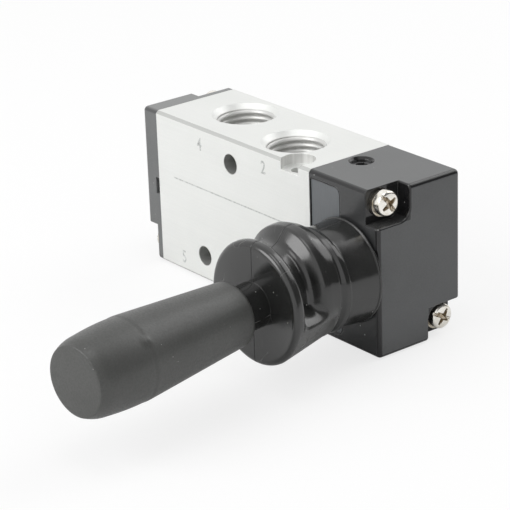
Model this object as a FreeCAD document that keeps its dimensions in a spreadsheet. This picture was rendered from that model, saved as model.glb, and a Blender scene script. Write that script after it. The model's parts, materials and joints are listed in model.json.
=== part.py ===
import FreeCAD, Part
import math
import os
import Sketcher

# Hand lever air valve: five ports, two positions, lever on the front of the end housing.
# Origin: centre of the valve body's underside. +X towards the lever housing, -Y towards the
# lever's handle, +Z up. Millimetres and degrees. The lever rests at its +X position.

Vector = FreeCAD.Vector
doc = FreeCAD.newDocument("hand_lever_valve")
sheet = doc.addObject("Spreadsheet::Sheet", "Dim")

SIZES = [
    ("body_length", 51.5, "valve body along X"),
    ("body_width", 22.0, "valve body along Y"),
    ("body_height", 35.0, "valve body along Z"),
    ("body_chamfer", 0.6, "long edges of the valve body"),
    ("bore_r", 5.5, "spool bore"),
    ("gallery_r", 6.6, "ring galleries in the bore"),
    ("gallery_width", 4.0, "ring galleries along X"),
    ("gallery_pitch", 8.5, "from one gallery to the next"),
    ("passage_r", 1.8, "drilling from a port to its gallery"),
    ("port_r", 6.15, "pitch radius of the large port thread"),
    ("port_mouth_r", 7.3, "large port countersink at the face"),
    ("port_depth", 8.5, "large port thread, from the face"),
    ("outlet_spacing", 21.3, "between the two top ports along X"),
    ("outlet_offset", 1.8, "each top port off the middle plane, opposite ways"),
    ("exhaust_r", 4.57, "pitch radius of the small port thread"),
    ("exhaust_mouth_r", 5.3, "small port countersink at the face"),
    ("exhaust_depth", 7.5, "small port thread, from the face"),
    ("exhaust_end", 7.45, "small bottom port to the body's nearest end"),
    ("cross_hole_r", 2.15, "mounting holes through the body along Y"),
    ("upper_hole_drop", 5.6, "upper mounting hole below the top"),
    ("lower_hole_z", 5.7, "height of the two lower mounting holes"),
    ("lower_spacing", 20.4, "between the lower mounting holes"),
    ("stack_hole_r", 1.6, "vertical screw hole beside the right top port"),
    ("stack_end", 6.15, "vertical screw hole to the body's nearest end"),
    ("stack_inset", 2.4, "vertical screw hole to the nearest long face"),
    ("stack_seat_r", 3.6, "screw head seat at the top of that hole"),
    ("stack_seat_depth", 2.3, "depth of that seat"),
    ("screw_inset", 3.9, "end screws from the nearest long face"),
    ("screw_drop", 3.4, "end screws from the top and the underside"),
    ("screw_r", 1.48, "end screw shank"),
    ("thread_gap", 0.02, "shank to tapped hole, radial"),
    ("screw_grip", 2.2, "shank inside the valve body"),
    ("tap_spare", 0.2, "tapped hole beyond the screw's tip"),
    ("head_r", 2.75, "end screw head"),
    ("head_height", 1.7, "end screw head"),
    ("head_round", 0.8, "edge of the screw head"),
    ("cross_width", 0.9, "cross recess, width of a leg"),
    ("cross_length", 3.4, "cross recess, leg tip to leg tip"),
    ("cross_depth", 1.1, "cross recess"),
    ("washer_r", 2.75, "split washer, outer"),
    ("washer_thickness", 0.7, "split washer"),
    ("washer_slit", 0.5, "split washer, cut"),
    ("screw_gap", 0.2, "shank to plain hole, radial"),
    ("cap_thickness", 4.9, "end cap along X"),
    ("cap_notch_width", 9.2, "end cap screw notch along Y"),
    ("cap_notch_height", 8.2, "end cap screw notch along Z"),
    ("cap_notch_floor", 1.5, "end cap left under a notch"),
    ("end_round", 1.0, "cast edges of the end cap and the housing"),
    ("notch_round", 2.6, "inner corner of a screw notch"),
    ("rim_round", 0.4, "rim of a housing screw notch"),
    ("vent_height", 3.8, "vent slot in the end cap's joint face, along Z"),
    ("vent_width", 1.2, "vent slot along X"),
    ("vent_depth", 1.6, "vent slot in from the front face"),
    ("gasket_inner_r", 6.9, "gasket ring, inner"),
    ("gasket_outer_r", 9.0, "gasket ring, outer"),
    ("gasket_thickness", 1.0, "gasket ring, sunk flush in cap or housing"),
    ("bumper_r", 3.6, "rubber bumper at the spool's far end"),
    ("bumper_seat", 1.8, "bumper recess in the end cap"),
    ("bumper_proud", 0.15, "bumper in front of the end cap's face"),
    ("stop_gap", 0.1, "spool to bumper at rest"),
    ("housing_length", 20.6, "lever housing along X"),
    ("housing_notch_width", 8.6, "housing screw notch along Y"),
    ("housing_notch_height", 7.2, "housing screw notch along Z"),
    ("housing_notch_depth", 3.6, "housing screw notch along X"),
    ("label_width", 9.4, "shallow label recess on the housing's front"),
    ("label_margin", 1.5, "label recess to the housing's top and bottom"),
    ("label_depth", 0.3, "label recess"),
    ("label_round", 1.6, "corners of the label recess"),
    ("chamber_r", 5.5, "chamber for the drive link"),
    ("chamber_length", 17.4, "chamber, from the valve body's face"),
    ("pivot_x", 10.65, "lever axis from the valve body's face"),
    ("lever_arm", 13.2, "lever pivot to spool axis"),
    ("lever_tilt", 7.0, "lever at each stop, degrees from straight"),
    ("boss_r", 8.5, "round boss on the housing's front"),
    ("boss_length", 7.5, "boss in front of the housing"),
    ("boss_bore_r", 5.0, "opening through the boss"),
    ("boss_groove_depth", 0.6, "boot groove round the boss"),
    ("boss_groove_width", 1.4, "boot groove round the boss"),
    ("pin_r", 1.5, "lever pivot pin"),
    ("pin_short", 0.6, "each pin end below the boss's surface"),
    ("pin_gap", 0.05, "pin to lever, radial"),
    ("press_gap", 0.01, "pin to boss, radial"),
    ("hub_r", 4.4, "ball-shaped hub of the lever rod"),
    ("ball_r", 2.5, "drive ball at the lever rod's inner end"),
    ("ball_gap", 0.05, "drive ball to its slot"),
    ("neck_r", 1.7, "lever rod between hub and drive ball"),
    ("rod_r", 3.0, "lever rod in front of the hub"),
    ("rod_thread_r", 2.5, "threaded end of the lever rod"),
    ("rod_thread_length", 12.5, "threaded end of the lever rod"),
    ("rod_shoulder", 0.8, "rod shoulder inside the handle's mouth"),
    ("handle_start", 29.5, "pivot to the handle's near end"),
    ("handle_length", 41.0, "handle"),
    ("handle_base_r", 6.6, "handle, near end"),
    ("handle_wide_r", 8.65, "handle, widest"),
    ("handle_wide_at", 11.0, "widest place to the handle's tip"),
    ("handle_tip_r", 7.35, "handle just before its tip rounding"),
    ("handle_base_round", 1.2, "edge of the near end"),
    ("handle_tip_round", 3.6, "edge of the tip"),
    ("insert_r", 3.9, "threaded insert in the handle, outer"),
    ("insert_length", 11.0, "threaded insert"),
    ("insert_gap", 0.02, "insert to handle and rod, radial"),
    ("insert_lip_r", 4.6, "insert flange"),
    ("insert_lip", 1.0, "insert flange"),
    ("spool_gap", 0.08, "spool land to bore, radial"),
    ("seal_gap", 0.02, "seal to bore, radial"),
    ("seal_root_r", 3.7, "bottom of a seal groove"),
    ("seal_groove", 1.9, "seal groove along X"),
    ("seal_inner", 6.1, "inner seals from the spool's middle"),
    ("seal_middle", 10.4, "middle seals from the spool's middle"),
    ("seal_end", 2.3, "outer seals from the spool's ends"),
    ("land_half", 1.6, "half a land along X"),
    ("waist_r", 3.3, "spool between its lands"),
    ("stub_r", 1.9, "stub that joins spool and drive link"),
    ("stub_length", 5.5, "stub"),
    ("stub_gap", 0.02, "stub to drive link, radial"),
    ("link_r", 4.0, "drive link"),
    ("link_tail", 4.6, "drive link beyond the middle of its ball slot"),
    ("link_edge", 0.5, "chamfer at the drive link's ends"),
    ("slot_back", 0.1, "drive ball to the bottom of its slot"),
    ("detent_x", 3.4, "detent from the valve body's face"),
    ("detent_ball_r", 1.5, "detent ball"),
    ("detent_depth", 1.1, "detent grooves round the drive link"),
    ("detent_gap", 0.05, "detent ball to its hole, radial, and to its groove"),
    ("detent_thread", 5.5, "set screw thread, down from the housing's top"),
    ("set_screw_r", 2.2, "detent set screw"),
    ("set_screw_length", 4.0, "detent set screw"),
    ("set_screw_sunk", 0.9, "set screw below the housing's top"),
    ("set_socket_r", 1.25, "set screw socket, across flats, half"),
    ("set_socket_depth", 2.0, "set screw socket"),
    ("set_mouth_r", 2.7, "countersink over the set screw"),
    ("spring_r", 1.1, "detent spring, middle of its wire"),
    ("spring_wire_r", 0.22, "detent spring wire"),
    ("spring_turns", 5.0, "detent spring"),
    ("bush_r", 6.0, "guide bush, outer"),
    ("bush_length", 1.6, "guide bush"),
    ("bush_gap", 0.04, "drive link to guide bush, radial"),
    ("bush_seat_gap", 0.02, "guide bush to housing, radial"),
    ("boot_gap", 0.05, "boot to boss, radial"),
    ("boot_foot", 0.3, "boot to the housing's front"),
    ("boot_collar_r", 10.2, "boot collar over the boss"),
    ("boot_bead_r", 11.0, "bead at the collar's foot"),
    ("boot_bead_width", 1.4, "bead at the collar's foot"),
    ("boot_wall", 1.5, "boot wall under the folds"),
    ("boot_valley_wall", 3.0, "boot wall in the valley"),
    ("boot_flange_at", 7.6, "housing front to the collar's flange"),
    ("boot_flange_r", 11.0, "flange at the collar's end"),
    ("boot_flange_width", 1.4, "flange at the collar's end"),
    ("boot_groove_r", 9.9, "groove between flange and first fold"),
    ("boot_groove_width", 0.8, "groove between flange and first fold"),
    ("boot_fold_r", 11.9, "crest of the first fold"),
    ("boot_fold_width", 6.2, "first fold"),
    ("boot_valley_r", 9.2, "valley between the folds"),
    ("boot_valley_width", 4.0, "valley between the folds"),
    ("boot_disc_r", 12.6, "crest of the second fold"),
    ("boot_disc_width", 2.9, "second fold"),
    ("boot_disc_at", 23.9, "pivot to the second fold's flat front"),
    ("boot_neck_r", 4.3, "boot neck round the rod"),
    ("boot_neck_gap", 0.15, "boot neck to rod, radial"),
    ("boot_neck_short", 0.4, "boot neck to handle"),
]

for row, (alias, size, meaning) in enumerate(SIZES, start=1):
    sheet.set("A%d" % row, meaning)
    sheet.set("B%d" % row, repr(size))
    sheet.setAlias("B%d" % row, alias)
doc.recompute()

# Places that several pieces share, as expressions of the sheet
FACE_X = "Dim.body_length / 2"
FRONT_Y = "Dim.body_width / 2"
PIVOT_X = "(Dim.body_length / 2 + Dim.pivot_x)"
AXIS_Z = "Dim.body_height / 2"
EXHAUST_X = "(Dim.body_length / 2 - Dim.exhaust_end)"
STACK_X = "(Dim.body_length / 2 - Dim.stack_end)"
SCREW_Y = "(Dim.body_width / 2 - Dim.screw_inset)"
SCREW_RISE = "(Dim.body_height / 2 - Dim.screw_drop)"
HALF_STROKE = "Dim.lever_arm * sin(Dim.lever_tilt)"
HALF_SPOOL = "(Dim.body_length / 2 - Dim.bumper_proud - Dim.stop_gap - " + HALF_STROKE + ")"
SCREW_HOLE_R = "Dim.screw_r + Dim.screw_gap"
TAPPED_R = "Dim.screw_r + Dim.thread_gap"
SEAL_WIRE_R = "(Dim.bore_r - Dim.seal_gap - Dim.seal_root_r) / 2"
LINK_X = "(" + HALF_SPOOL + " - " + HALF_STROKE + ")"
DETENT_X = "(Dim.body_length / 2 + Dim.detent_x)"
OUTER_SEAL = "(" + HALF_SPOOL + " - Dim.seal_end)"
BALL_LIFT = "(Dim.link_r - Dim.detent_depth + (Dim.detent_ball_r + Dim.detent_gap) * sqrt(2))"
SET_SCREW_FOOT = "(Dim.body_height - Dim.set_screw_sunk - Dim.set_screw_length)"


def number(expression):
    """The present value of a sheet expression."""
    return float(sheet.evalExpression(expression))


def bind(thing, **properties):
    """Ties properties of an object to sheet expressions; Base_x stands for Placement.Base.x."""
    for name, expression in properties.items():
        path = "Placement.Base." + name[-1] if name.startswith("Base_") else name
        thing.setExpression(path, expression)
    return thing


def new_body(name, x="0", y="0", z="0", turn=None):
    """A body at a place of its own, turned about Z by an expression if one is given."""
    body = doc.addObject("PartDesign::Body", name)
    body.Label = name
    bind(body, Base_x=x, Base_y=y, Base_z=z)
    if turn:
        body.setExpression("Placement.Rotation.Angle", turn)
        body.Placement.Rotation.Axis = Vector(0, 0, 1)
    return body


def new_sketch(body, plane, shift=("0", "0", "0"), turn=None):
    """A sketch on the body's own XY, XZ or YZ plane, moved along the sketch's own axes.

    On XZ the sketch's axes are X, Z and -Y; on YZ they are Y, Z and X."""
    sketch = body.newObject("Sketcher::SketchObject", body.Name + "_sketch")
    flat = [item for item in body.Origin.OriginFeatures if item.Role == plane + "_Plane"][0]
    sketch.AttachmentSupport = (flat, [""])
    sketch.MapMode = "FlatFace"
    for axis, expression in zip("xyz", shift):
        sketch.setExpression("AttachmentOffset.Base." + axis, expression)
    if turn:
        sketch.setExpression("AttachmentOffset.Rotation.Angle", turn)
    return sketch


def hold(sketch, constraint, expression):
    """Adds a constraint whose value is a sheet expression."""
    index = sketch.addConstraint(constraint)
    sketch.setExpression("Constraints[%d]" % index, expression)


def hold_point(sketch, item, end, x, y):
    """Holds one point of the sketch at x and y from the sketch's origin."""
    hold(sketch, Sketcher.Constraint("DistanceX", -1, 1, item, end, number(x)), x)
    hold(sketch, Sketcher.Constraint("DistanceY", -1, 1, item, end, number(y)), y)


def circle(sketch, x, y, radius):
    """A circle whose centre and radius are sheet expressions."""
    item = sketch.addGeometry(Part.Circle(Vector(number(x), number(y), 0), Vector(0, 0, 1), number(radius)))
    hold_point(sketch, item, 3, x, y)
    hold(sketch, Sketcher.Constraint("Radius", item, number(radius)), radius)


def rectangle(sketch, left, low, right, high):
    """A rectangle between two corners given as sheet expressions."""
    outline(sketch, [(left, low), (right, low), (right, high), (left, high)])


def outline(sketch, corners):
    """A closed outline of straight lines. A corner is (x, y) or, rounded by an arc, (x, y, radius)."""
    places = [Vector(number(corner[0]), number(corner[1]), 0) for corner in corners]
    count = len(corners)
    starts = list(places)
    ends = list(places)
    arcs = {}
    for index, corner in enumerate(corners):
        if len(corner) < 3:
            continue
        place = places[index]
        back = (places[index - 1] - place).normalize()
        ahead = (places[(index + 1) % count] - place).normalize()
        radius = number(corner[2])
        half = back.getAngle(ahead) / 2
        ends[index] = place + back * (radius / math.tan(half))
        starts[index] = place + ahead * (radius / math.tan(half))
        middle = (back + ahead).normalize()
        centre = place + middle * (radius / math.sin(half))
        arcs[index] = Part.Arc(ends[index], centre - middle * radius, starts[index])
    lines = []
    for index in range(count):
        after = (index + 1) % count
        lines.append(sketch.addGeometry(Part.LineSegment(starts[index], ends[after])))
    for index, corner in enumerate(corners):
        before = lines[index - 1]
        after = lines[index]
        if index not in arcs:
            sketch.addConstraint(Sketcher.Constraint("Coincident", before, 2, after, 1))
            hold_point(sketch, after, 1, corner[0], corner[1])
            continue
        arc = sketch.addGeometry(arcs[index])
        near_end = (sketch.getPoint(arc, 1) - ends[index]).Length < 1e-6
        first, second = (1, 2) if near_end else (2, 1)
        tip = sketch.addGeometry(Part.Point(places[index]), True)
        hold_point(sketch, tip, 1, corner[0], corner[1])
        sketch.addConstraint([
            Sketcher.Constraint("PointOnObject", tip, 1, before),
            Sketcher.Constraint("PointOnObject", tip, 1, after),
            Sketcher.Constraint("Tangent", before, 2, arc, first),
            Sketcher.Constraint("Tangent", arc, second, after, 1),
        ])
        hold(sketch, Sketcher.Constraint("Radius", arc, number(corner[2])), corner[2])


def extrude(body, kind, sketch, length, both=False, backwards=False, merge_faces=True):
    """A Pad or Pocket of the sketch; both lays it half to each side of the sketch."""
    feature = body.newObject("PartDesign::" + kind, body.Name + "_" + kind.lower())
    feature.Profile = sketch
    feature.Refine = merge_faces
    feature.setExpression("Length", length)
    if both:
        feature.Midplane = True
    feature.Reversed = backwards
    sketch.Visibility = False
    doc.recompute()
    return feature


def revolve(body, kind, sketch, axis="V_Axis"):
    """A Revolution or Groove of the sketch, all the way round one of the sketch's own axes."""
    feature = body.newObject("PartDesign::" + kind, body.Name + "_" + kind.lower())
    feature.Profile = sketch
    feature.ReferenceAxis = (sketch, [axis])
    feature.Angle = 360
    sketch.Visibility = False
    doc.recompute()
    return feature


def opposite_copy(body, features, sketch):
    """Repeats features half a turn round the sketch's vertical axis."""
    pattern = body.newObject("PartDesign::PolarPattern", body.Name + "_pair")
    pattern.Originals = features
    pattern.Axis = (sketch, ["V_Axis"])
    pattern.Angle = 360
    pattern.Occurrences = 2
    body.Tip = pattern
    doc.recompute()
    return pattern


def dress(body, kind, size, chosen):
    """A Fillet or Chamfer on the edges of the body's present shape that the test chooses."""
    base = body.Tip
    names = ["Edge%d" % (i + 1) for i, edge in enumerate(base.Shape.Edges) if chosen(edge)]
    feature = body.newObject("PartDesign::" + kind, body.Name + "_" + kind.lower())
    feature.Base = (base, names)
    feature.setExpression("Radius" if kind == "Fillet" else "Size", size)
    doc.recompute()
    return feature


def edge_box(edge):
    """Lowest and highest corner of an edge, and whether it is straight."""
    box = edge.BoundBox
    return box, isinstance(edge.Curve, Part.Line)


def close(one, other):
    return abs(one - other) < 1e-4


def port(body, x, y, face_up, radius, mouth_r, depth):
    """A threaded port: countersink, tapped length and drill point, turned round a vertical axis."""
    face = "Dim.body_height" if face_up else "0"
    sign = "-" if face_up else "+"
    sketch = new_sketch(body, "XZ", (x, face, "-(" + y + ")"))
    taper = "(" + radius + " - Dim.passage_r) / 2"
    outline(sketch, [
        ("0", "0"),
        (mouth_r, "0"),
        (radius, "0 " + sign + " (" + mouth_r + " - " + radius + ")"),
        (radius, "0 " + sign + " " + depth),
        ("Dim.passage_r", "0 " + sign + " (" + depth + " + " + taper + ")"),
        ("0", "0 " + sign + " (" + depth + " + " + taper + ")"),
    ])
    revolve(body, "Groove", sketch)


def passage(body, x, face_up, depth):
    """The drilling between a port's bottom and the bore."""
    sketch = new_sketch(body, "XY", ("0", "0", AXIS_Z))
    circle(sketch, x, "0", "Dim.passage_r")
    extrude(body, "Pocket", sketch, AXIS_Z + " - " + depth, backwards=face_up)


def make_valve_body():
    """The extruded valve body with its bore, galleries, ports and screw holes."""
    body = new_body("valve_body")
    sketch = new_sketch(body, "YZ")
    side = FRONT_Y
    inner = FRONT_Y + " - Dim.body_chamfer"
    top = "Dim.body_height"
    outline(sketch, [
        ("-(" + inner + ")", "0"), (inner, "0"),
        (side, "Dim.body_chamfer"), (side, top + " - Dim.body_chamfer"),
        (inner, top), ("-(" + inner + ")", top),
        ("-" + side, top + " - Dim.body_chamfer"), ("-" + side, "Dim.body_chamfer"),
    ])
    extrude(body, "Pad", sketch, "Dim.body_length", both=True)

    bore = new_sketch(body, "YZ")
    circle(bore, "0", AXIS_Z, "Dim.bore_r")
    extrude(body, "Pocket", bore, "Dim.body_length", both=True)

    gallery = new_sketch(body, "XZ", ("-2 * Dim.gallery_pitch", AXIS_Z, "0"))
    rectangle(gallery, "-Dim.gallery_width / 2", "0", "Dim.gallery_width / 2", "Dim.gallery_r")
    groove = revolve(body, "Groove", gallery, "H_Axis")
    row = body.newObject("PartDesign::LinearPattern", "valve_body_galleries")
    row.Originals = [groove]
    row.Direction = (gallery, ["H_Axis"])
    row.setExpression("Length", "4 * Dim.gallery_pitch")
    row.Occurrences = 5
    body.Tip = row
    doc.recompute()

    for side_sign in ("-", ""):
        outlet_x = side_sign + "Dim.outlet_spacing / 2"
        outlet_y = ("-" if side_sign == "" else "") + "Dim.outlet_offset"
        port(body, outlet_x, outlet_y, True, "Dim.port_r", "Dim.port_mouth_r", "Dim.port_depth")
        passage(body, side_sign + "Dim.gallery_pitch", True, "Dim.port_depth")
        exhaust_x = side_sign + EXHAUST_X
        port(body, exhaust_x, "0", False, "Dim.exhaust_r", "Dim.exhaust_mouth_r", "Dim.exhaust_depth")
        passage(body, side_sign + "2 * Dim.gallery_pitch", False, "Dim.exhaust_depth")
    port(body, "0", "0", False, "Dim.port_r", "Dim.port_mouth_r", "Dim.port_depth")
    passage(body, "0", False, "Dim.port_depth")

    cross = new_sketch(body, "XZ")
    circle(cross, "0", "Dim.body_height - Dim.upper_hole_drop", "Dim.cross_hole_r")
    circle(cross, "-Dim.lower_spacing / 2", "Dim.lower_hole_z", "Dim.cross_hole_r")
    circle(cross, "Dim.lower_spacing / 2", "Dim.lower_hole_z", "Dim.cross_hole_r")
    extrude(body, "Pocket", cross, "Dim.body_width", both=True)

    # A screw seat open to the long face, with a vertical hole through it, and the tapped end holes
    upright = new_sketch(body, "XZ", ("0", "0", "0"))
    seat = new_sketch(body, "XY", ("0", "0", "Dim.body_height + 1"))
    circle(seat, STACK_X, "Dim.stack_inset - " + FRONT_Y, "Dim.stack_seat_r")
    extrude(body, "Pocket", seat, "Dim.stack_seat_depth + 1", merge_faces=False)
    hole = new_sketch(body, "XY", ("0", "0", "Dim.body_height + 1"))
    circle(hole, STACK_X, "Dim.stack_inset - " + FRONT_Y, "Dim.stack_hole_r")
    extrude(body, "Pocket", hole, "Dim.body_height + 2")
    tapped = new_sketch(body, "YZ", ("0", "0", FACE_X))
    circle(tapped, "-" + SCREW_Y, "Dim.body_height - Dim.screw_drop", TAPPED_R)
    circle(tapped, SCREW_Y, "Dim.screw_drop", TAPPED_R)
    tapped_cut = extrude(body, "Pocket", tapped, "Dim.screw_grip + Dim.tap_spare")
    opposite_copy(body, [tapped_cut], upright)
    return body


def cut_notches(body, plane_x, width, height, depth, outward, first_high_side):
    """Two screw notches at opposite corners of an end piece, cut in from its outer face."""
    for high in (True, False):
        side = first_high_side if high else -first_high_side
        sign = "" if side > 0 else "-"
        outer = FRONT_Y + " + 1"
        inner = "(" + FRONT_Y + " - " + width + ")"
        far = "Dim.body_height + 1" if high else "-1"
        near = "Dim.body_height - " + height if high else height
        sketch = new_sketch(body, "YZ", ("0", "0", plane_x))
        outline(sketch, [
            (sign + "(" + outer + ")", far),
            (sign + inner, far),
            (sign + inner, near, "Dim.notch_round"),
            (sign + "(" + outer + ")", near),
        ])
        extrude(body, "Pocket", sketch, depth, backwards=not outward)


def drill_end_holes(body, plane_x, radius, depth, outward, high_side):
    """The two plain screw holes of an end piece."""
    sketch = new_sketch(body, "YZ", ("0", "0", plane_x))
    sign, other = ("", "-") if high_side > 0 else ("-", "")
    circle(sketch, sign + SCREW_Y, "Dim.body_height - Dim.screw_drop", radius)
    circle(sketch, other + SCREW_Y, "Dim.screw_drop", radius)
    extrude(body, "Pocket", sketch, depth, backwards=not outward)


def end_block(name, near_x, length, outward):
    """The plain block of an end piece, with its long and outer edges rounded as cast."""
    body = new_body(name)
    sketch = new_sketch(body, "YZ", ("0", "0", near_x))
    rectangle(sketch, "-" + FRONT_Y, "0", FRONT_Y, "Dim.body_height")
    extrude(body, "Pad", sketch, length, backwards=not outward)
    near = number(near_x)
    far = near + number(length) * (1 if outward else -1)

    def cast_edge(edge):
        box, straight = edge_box(edge)
        long_edge = straight and not close(box.XMin, box.XMax)
        return long_edge or close(box.XMin, far) and close(box.XMax, far)

    dress(body, "Fillet", "Dim.end_round", cast_edge)
    return body


def recess(body, plane_x, radius, depth, outward):
    """A round blind recess on the spool axis."""
    sketch = new_sketch(body, "YZ", ("0", "0", plane_x))
    circle(sketch, "0", AXIS_Z, radius)
    extrude(body, "Pocket", sketch, depth, backwards=not outward)


def gasket_recess(body, plane_x, outward):
    """The ring recess that holds a gasket flush with the joint face."""
    sketch = new_sketch(body, "YZ", ("0", "0", plane_x))
    circle(sketch, "0", AXIS_Z, "Dim.gasket_outer_r")
    circle(sketch, "0", AXIS_Z, "Dim.gasket_inner_r")
    extrude(body, "Pocket", sketch, "Dim.gasket_thickness", backwards=not outward)


def make_gasket(name, plane_x, outward):
    """A flat rubber ring round the bore, sunk in the end piece."""
    body = new_body(name)
    sketch = new_sketch(body, "YZ", ("0", "0", plane_x))
    circle(sketch, "0", AXIS_Z, "Dim.gasket_outer_r")
    circle(sketch, "0", AXIS_Z, "Dim.gasket_inner_r")
    extrude(body, "Pad", sketch, "Dim.gasket_thickness", backwards=not outward)
    return body


def make_end_cap():
    """The cast end cap away from the lever, with the bumper recess inside."""
    near = "-" + FACE_X
    body = end_block("end_cap", near, "Dim.cap_thickness", False)
    outer = "-(" + FACE_X + " + Dim.cap_thickness)"
    depth = "Dim.cap_thickness - Dim.cap_notch_floor"
    cut_notches(body, outer, "Dim.cap_notch_width", "Dim.cap_notch_height", depth, False, 1)
    drill_end_holes(body, outer, SCREW_HOLE_R, "Dim.cap_thickness", False, 1)
    recess(body, near, "Dim.bumper_r", "Dim.bumper_seat", True)
    gasket_recess(body, near, True)
    vent = new_sketch(body, "XZ", ("0", AXIS_Z, FRONT_Y))
    rectangle(vent, "-(" + FACE_X + " + Dim.vent_width)", "-Dim.vent_height / 2",
              "-" + FACE_X, "Dim.vent_height / 2")
    extrude(body, "Pocket", vent, "Dim.vent_depth")
    return body


def make_bumper():
    """The rubber disc that the spool meets at the end of its travel."""
    body = new_body("spool_bumper")
    sketch = new_sketch(body, "YZ", ("0", "0", "-(" + FACE_X + " + Dim.bumper_seat)"))
    circle(sketch, "0", AXIS_Z, "Dim.bumper_r")
    extrude(body, "Pad", sketch, "Dim.bumper_seat + Dim.bumper_proud")
    return body


def make_housing():
    """The cast lever housing: chamber, boss, screw notches, label recess and detent hole."""
    body = end_block("lever_housing", FACE_X, "Dim.housing_length", True)
    outer = FACE_X + " + Dim.housing_length"

    label = new_sketch(body, "XZ", ("0", "0", FRONT_Y))
    right = FACE_X + " + Dim.label_width"
    outline(label, [
        (FACE_X + " - 1", "Dim.label_margin"),
        (right, "Dim.label_margin", "Dim.label_round"),
        (right, "Dim.body_height - Dim.label_margin", "Dim.label_round"),
        (FACE_X + " - 1", "Dim.body_height - Dim.label_margin"),
    ])
    extrude(body, "Pocket", label, "Dim.label_depth")

    boss = new_sketch(body, "XY", (PIVOT_X, "0", AXIS_Z))
    foot = "-(" + FRONT_Y + " - 1)"
    tip = "-(" + FRONT_Y + " + Dim.boss_length)"
    groove_low = "-(" + FRONT_Y + " + Dim.boot_foot)"
    groove_high = "-(" + FRONT_Y + " + Dim.boot_foot + Dim.boss_groove_width)"
    outline(boss, [
        ("0", foot),
        ("Dim.boss_r", foot),
        ("Dim.boss_r", groove_low),
        ("Dim.boss_r - Dim.boss_groove_depth", groove_low),
        ("Dim.boss_r - Dim.boss_groove_depth", groove_high),
        ("Dim.boss_r", groove_high),
        ("Dim.boss_r", tip, "Dim.end_round"),
        ("0", tip),
    ])
    revolve(body, "Revolution", boss)

    opening = new_sketch(body, "XZ", (PIVOT_X, AXIS_Z, "0"))
    circle(opening, "0", "0", "Dim.boss_bore_r")
    extrude(body, "Pocket", opening, FRONT_Y + " + Dim.boss_length", backwards=True)

    cut_notches(body, outer, "Dim.housing_notch_width", "Dim.housing_notch_height",
                "Dim.housing_notch_depth", True, -1)
    face_x = number(outer)
    inner_y = number(FRONT_Y + " - Dim.housing_notch_width")
    middle_z = number(AXIS_Z)
    far_z = number(AXIS_Z + " - Dim.housing_notch_height")

    def notch_rim(edge):
        box = edge.BoundBox
        on_face = close(box.XMin, face_x) and close(box.XMax, face_x)
        side = min(abs(box.YMin), abs(box.YMax))
        height = min(abs(box.ZMin - middle_z), abs(box.ZMax - middle_z))
        beside = box.YMin * box.YMax > 0 and side > inner_y - 1e-4 and height > far_z - 1e-4
        return on_face and beside

    dress(body, "Fillet", "Dim.rim_round", notch_rim)
    drill_end_holes(body, outer, SCREW_HOLE_R, "Dim.housing_length", True, -1)
    recess(body, FACE_X, "Dim.chamber_r", "Dim.chamber_length", False)
    recess(body, FACE_X, "Dim.bush_r + Dim.bush_seat_gap", "Dim.bush_length", False)
    gasket_recess(body, FACE_X, False)

    pin = new_sketch(body, "XY", (PIVOT_X, "-Dim.lever_arm", AXIS_Z))
    circle(pin, "0", "0", "Dim.pin_r + Dim.press_gap")
    extrude(body, "Pocket", pin, "2 * Dim.boss_r", both=True)

    detent = new_sketch(body, "XZ", (DETENT_X, "0", "0"))
    thread_r = "Dim.set_screw_r + Dim.thread_gap"
    ball_r = "Dim.detent_ball_r + Dim.detent_gap"
    outline(detent, [
        ("0", AXIS_Z),
        (ball_r, AXIS_Z),
        (ball_r, "Dim.body_height - Dim.detent_thread"),
        (thread_r, "Dim.body_height - Dim.detent_thread"),
        (thread_r, "Dim.body_height - (Dim.set_mouth_r - " + thread_r + ")"),
        ("Dim.set_mouth_r", "Dim.body_height"),
        ("0", "Dim.body_height"),
    ])
    revolve(body, "Groove", detent)
    return body


def make_screws(name, seat_x, length, outward, high_side):
    """Two pan head screws with a cross recess, at opposite corners of an end piece."""
    sign = "" if high_side > 0 else "-"
    way = "" if outward else "-"
    body = new_body(name, z=AXIS_Z)
    profile = new_sketch(body, "XY", ("0", sign + SCREW_Y, SCREW_RISE))
    under = seat_x + " + " + way + "Dim.washer_thickness"
    top = under + " + " + way + "Dim.head_height"
    outline(profile, [
        (under + " - " + way + "(" + length + ")", "0"),
        (under + " - " + way + "(" + length + ")", "Dim.screw_r"),
        (under, "Dim.screw_r"),
        (under, "Dim.head_r"),
        (top, "Dim.head_r", "Dim.head_round"),
        (top, "0"),
    ])
    shank = revolve(body, "Revolution", profile, "H_Axis")
    cross = new_sketch(body, "YZ", (sign + SCREW_Y, SCREW_RISE, top))
    arm = "Dim.cross_length / 2"
    leg = "Dim.cross_width / 2"
    outline(cross, [
        ("-" + arm, "-" + leg), ("-" + leg, "-" + leg), ("-" + leg, "-" + arm), (leg, "-" + arm),
        (leg, "-" + leg), (arm, "-" + leg), (arm, leg), (leg, leg),
        (leg, arm), ("-" + leg, arm), ("-" + leg, leg), ("-" + arm, leg),
    ])
    cut = extrude(body, "Pocket", cross, "Dim.cross_depth", backwards=not outward)
    return pair_about_axis(body, [shank, cut])


def pair_about_axis(body, features):
    """A second copy of the features, half a turn round the spool axis."""
    axis = new_sketch(body, "XZ")
    pattern = body.newObject("PartDesign::PolarPattern", body.Name + "_pair")
    pattern.Originals = features
    pattern.Axis = (axis, ["H_Axis"])
    pattern.Angle = 360
    pattern.Occurrences = 2
    body.Tip = pattern
    doc.recompute()
    return body


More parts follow.
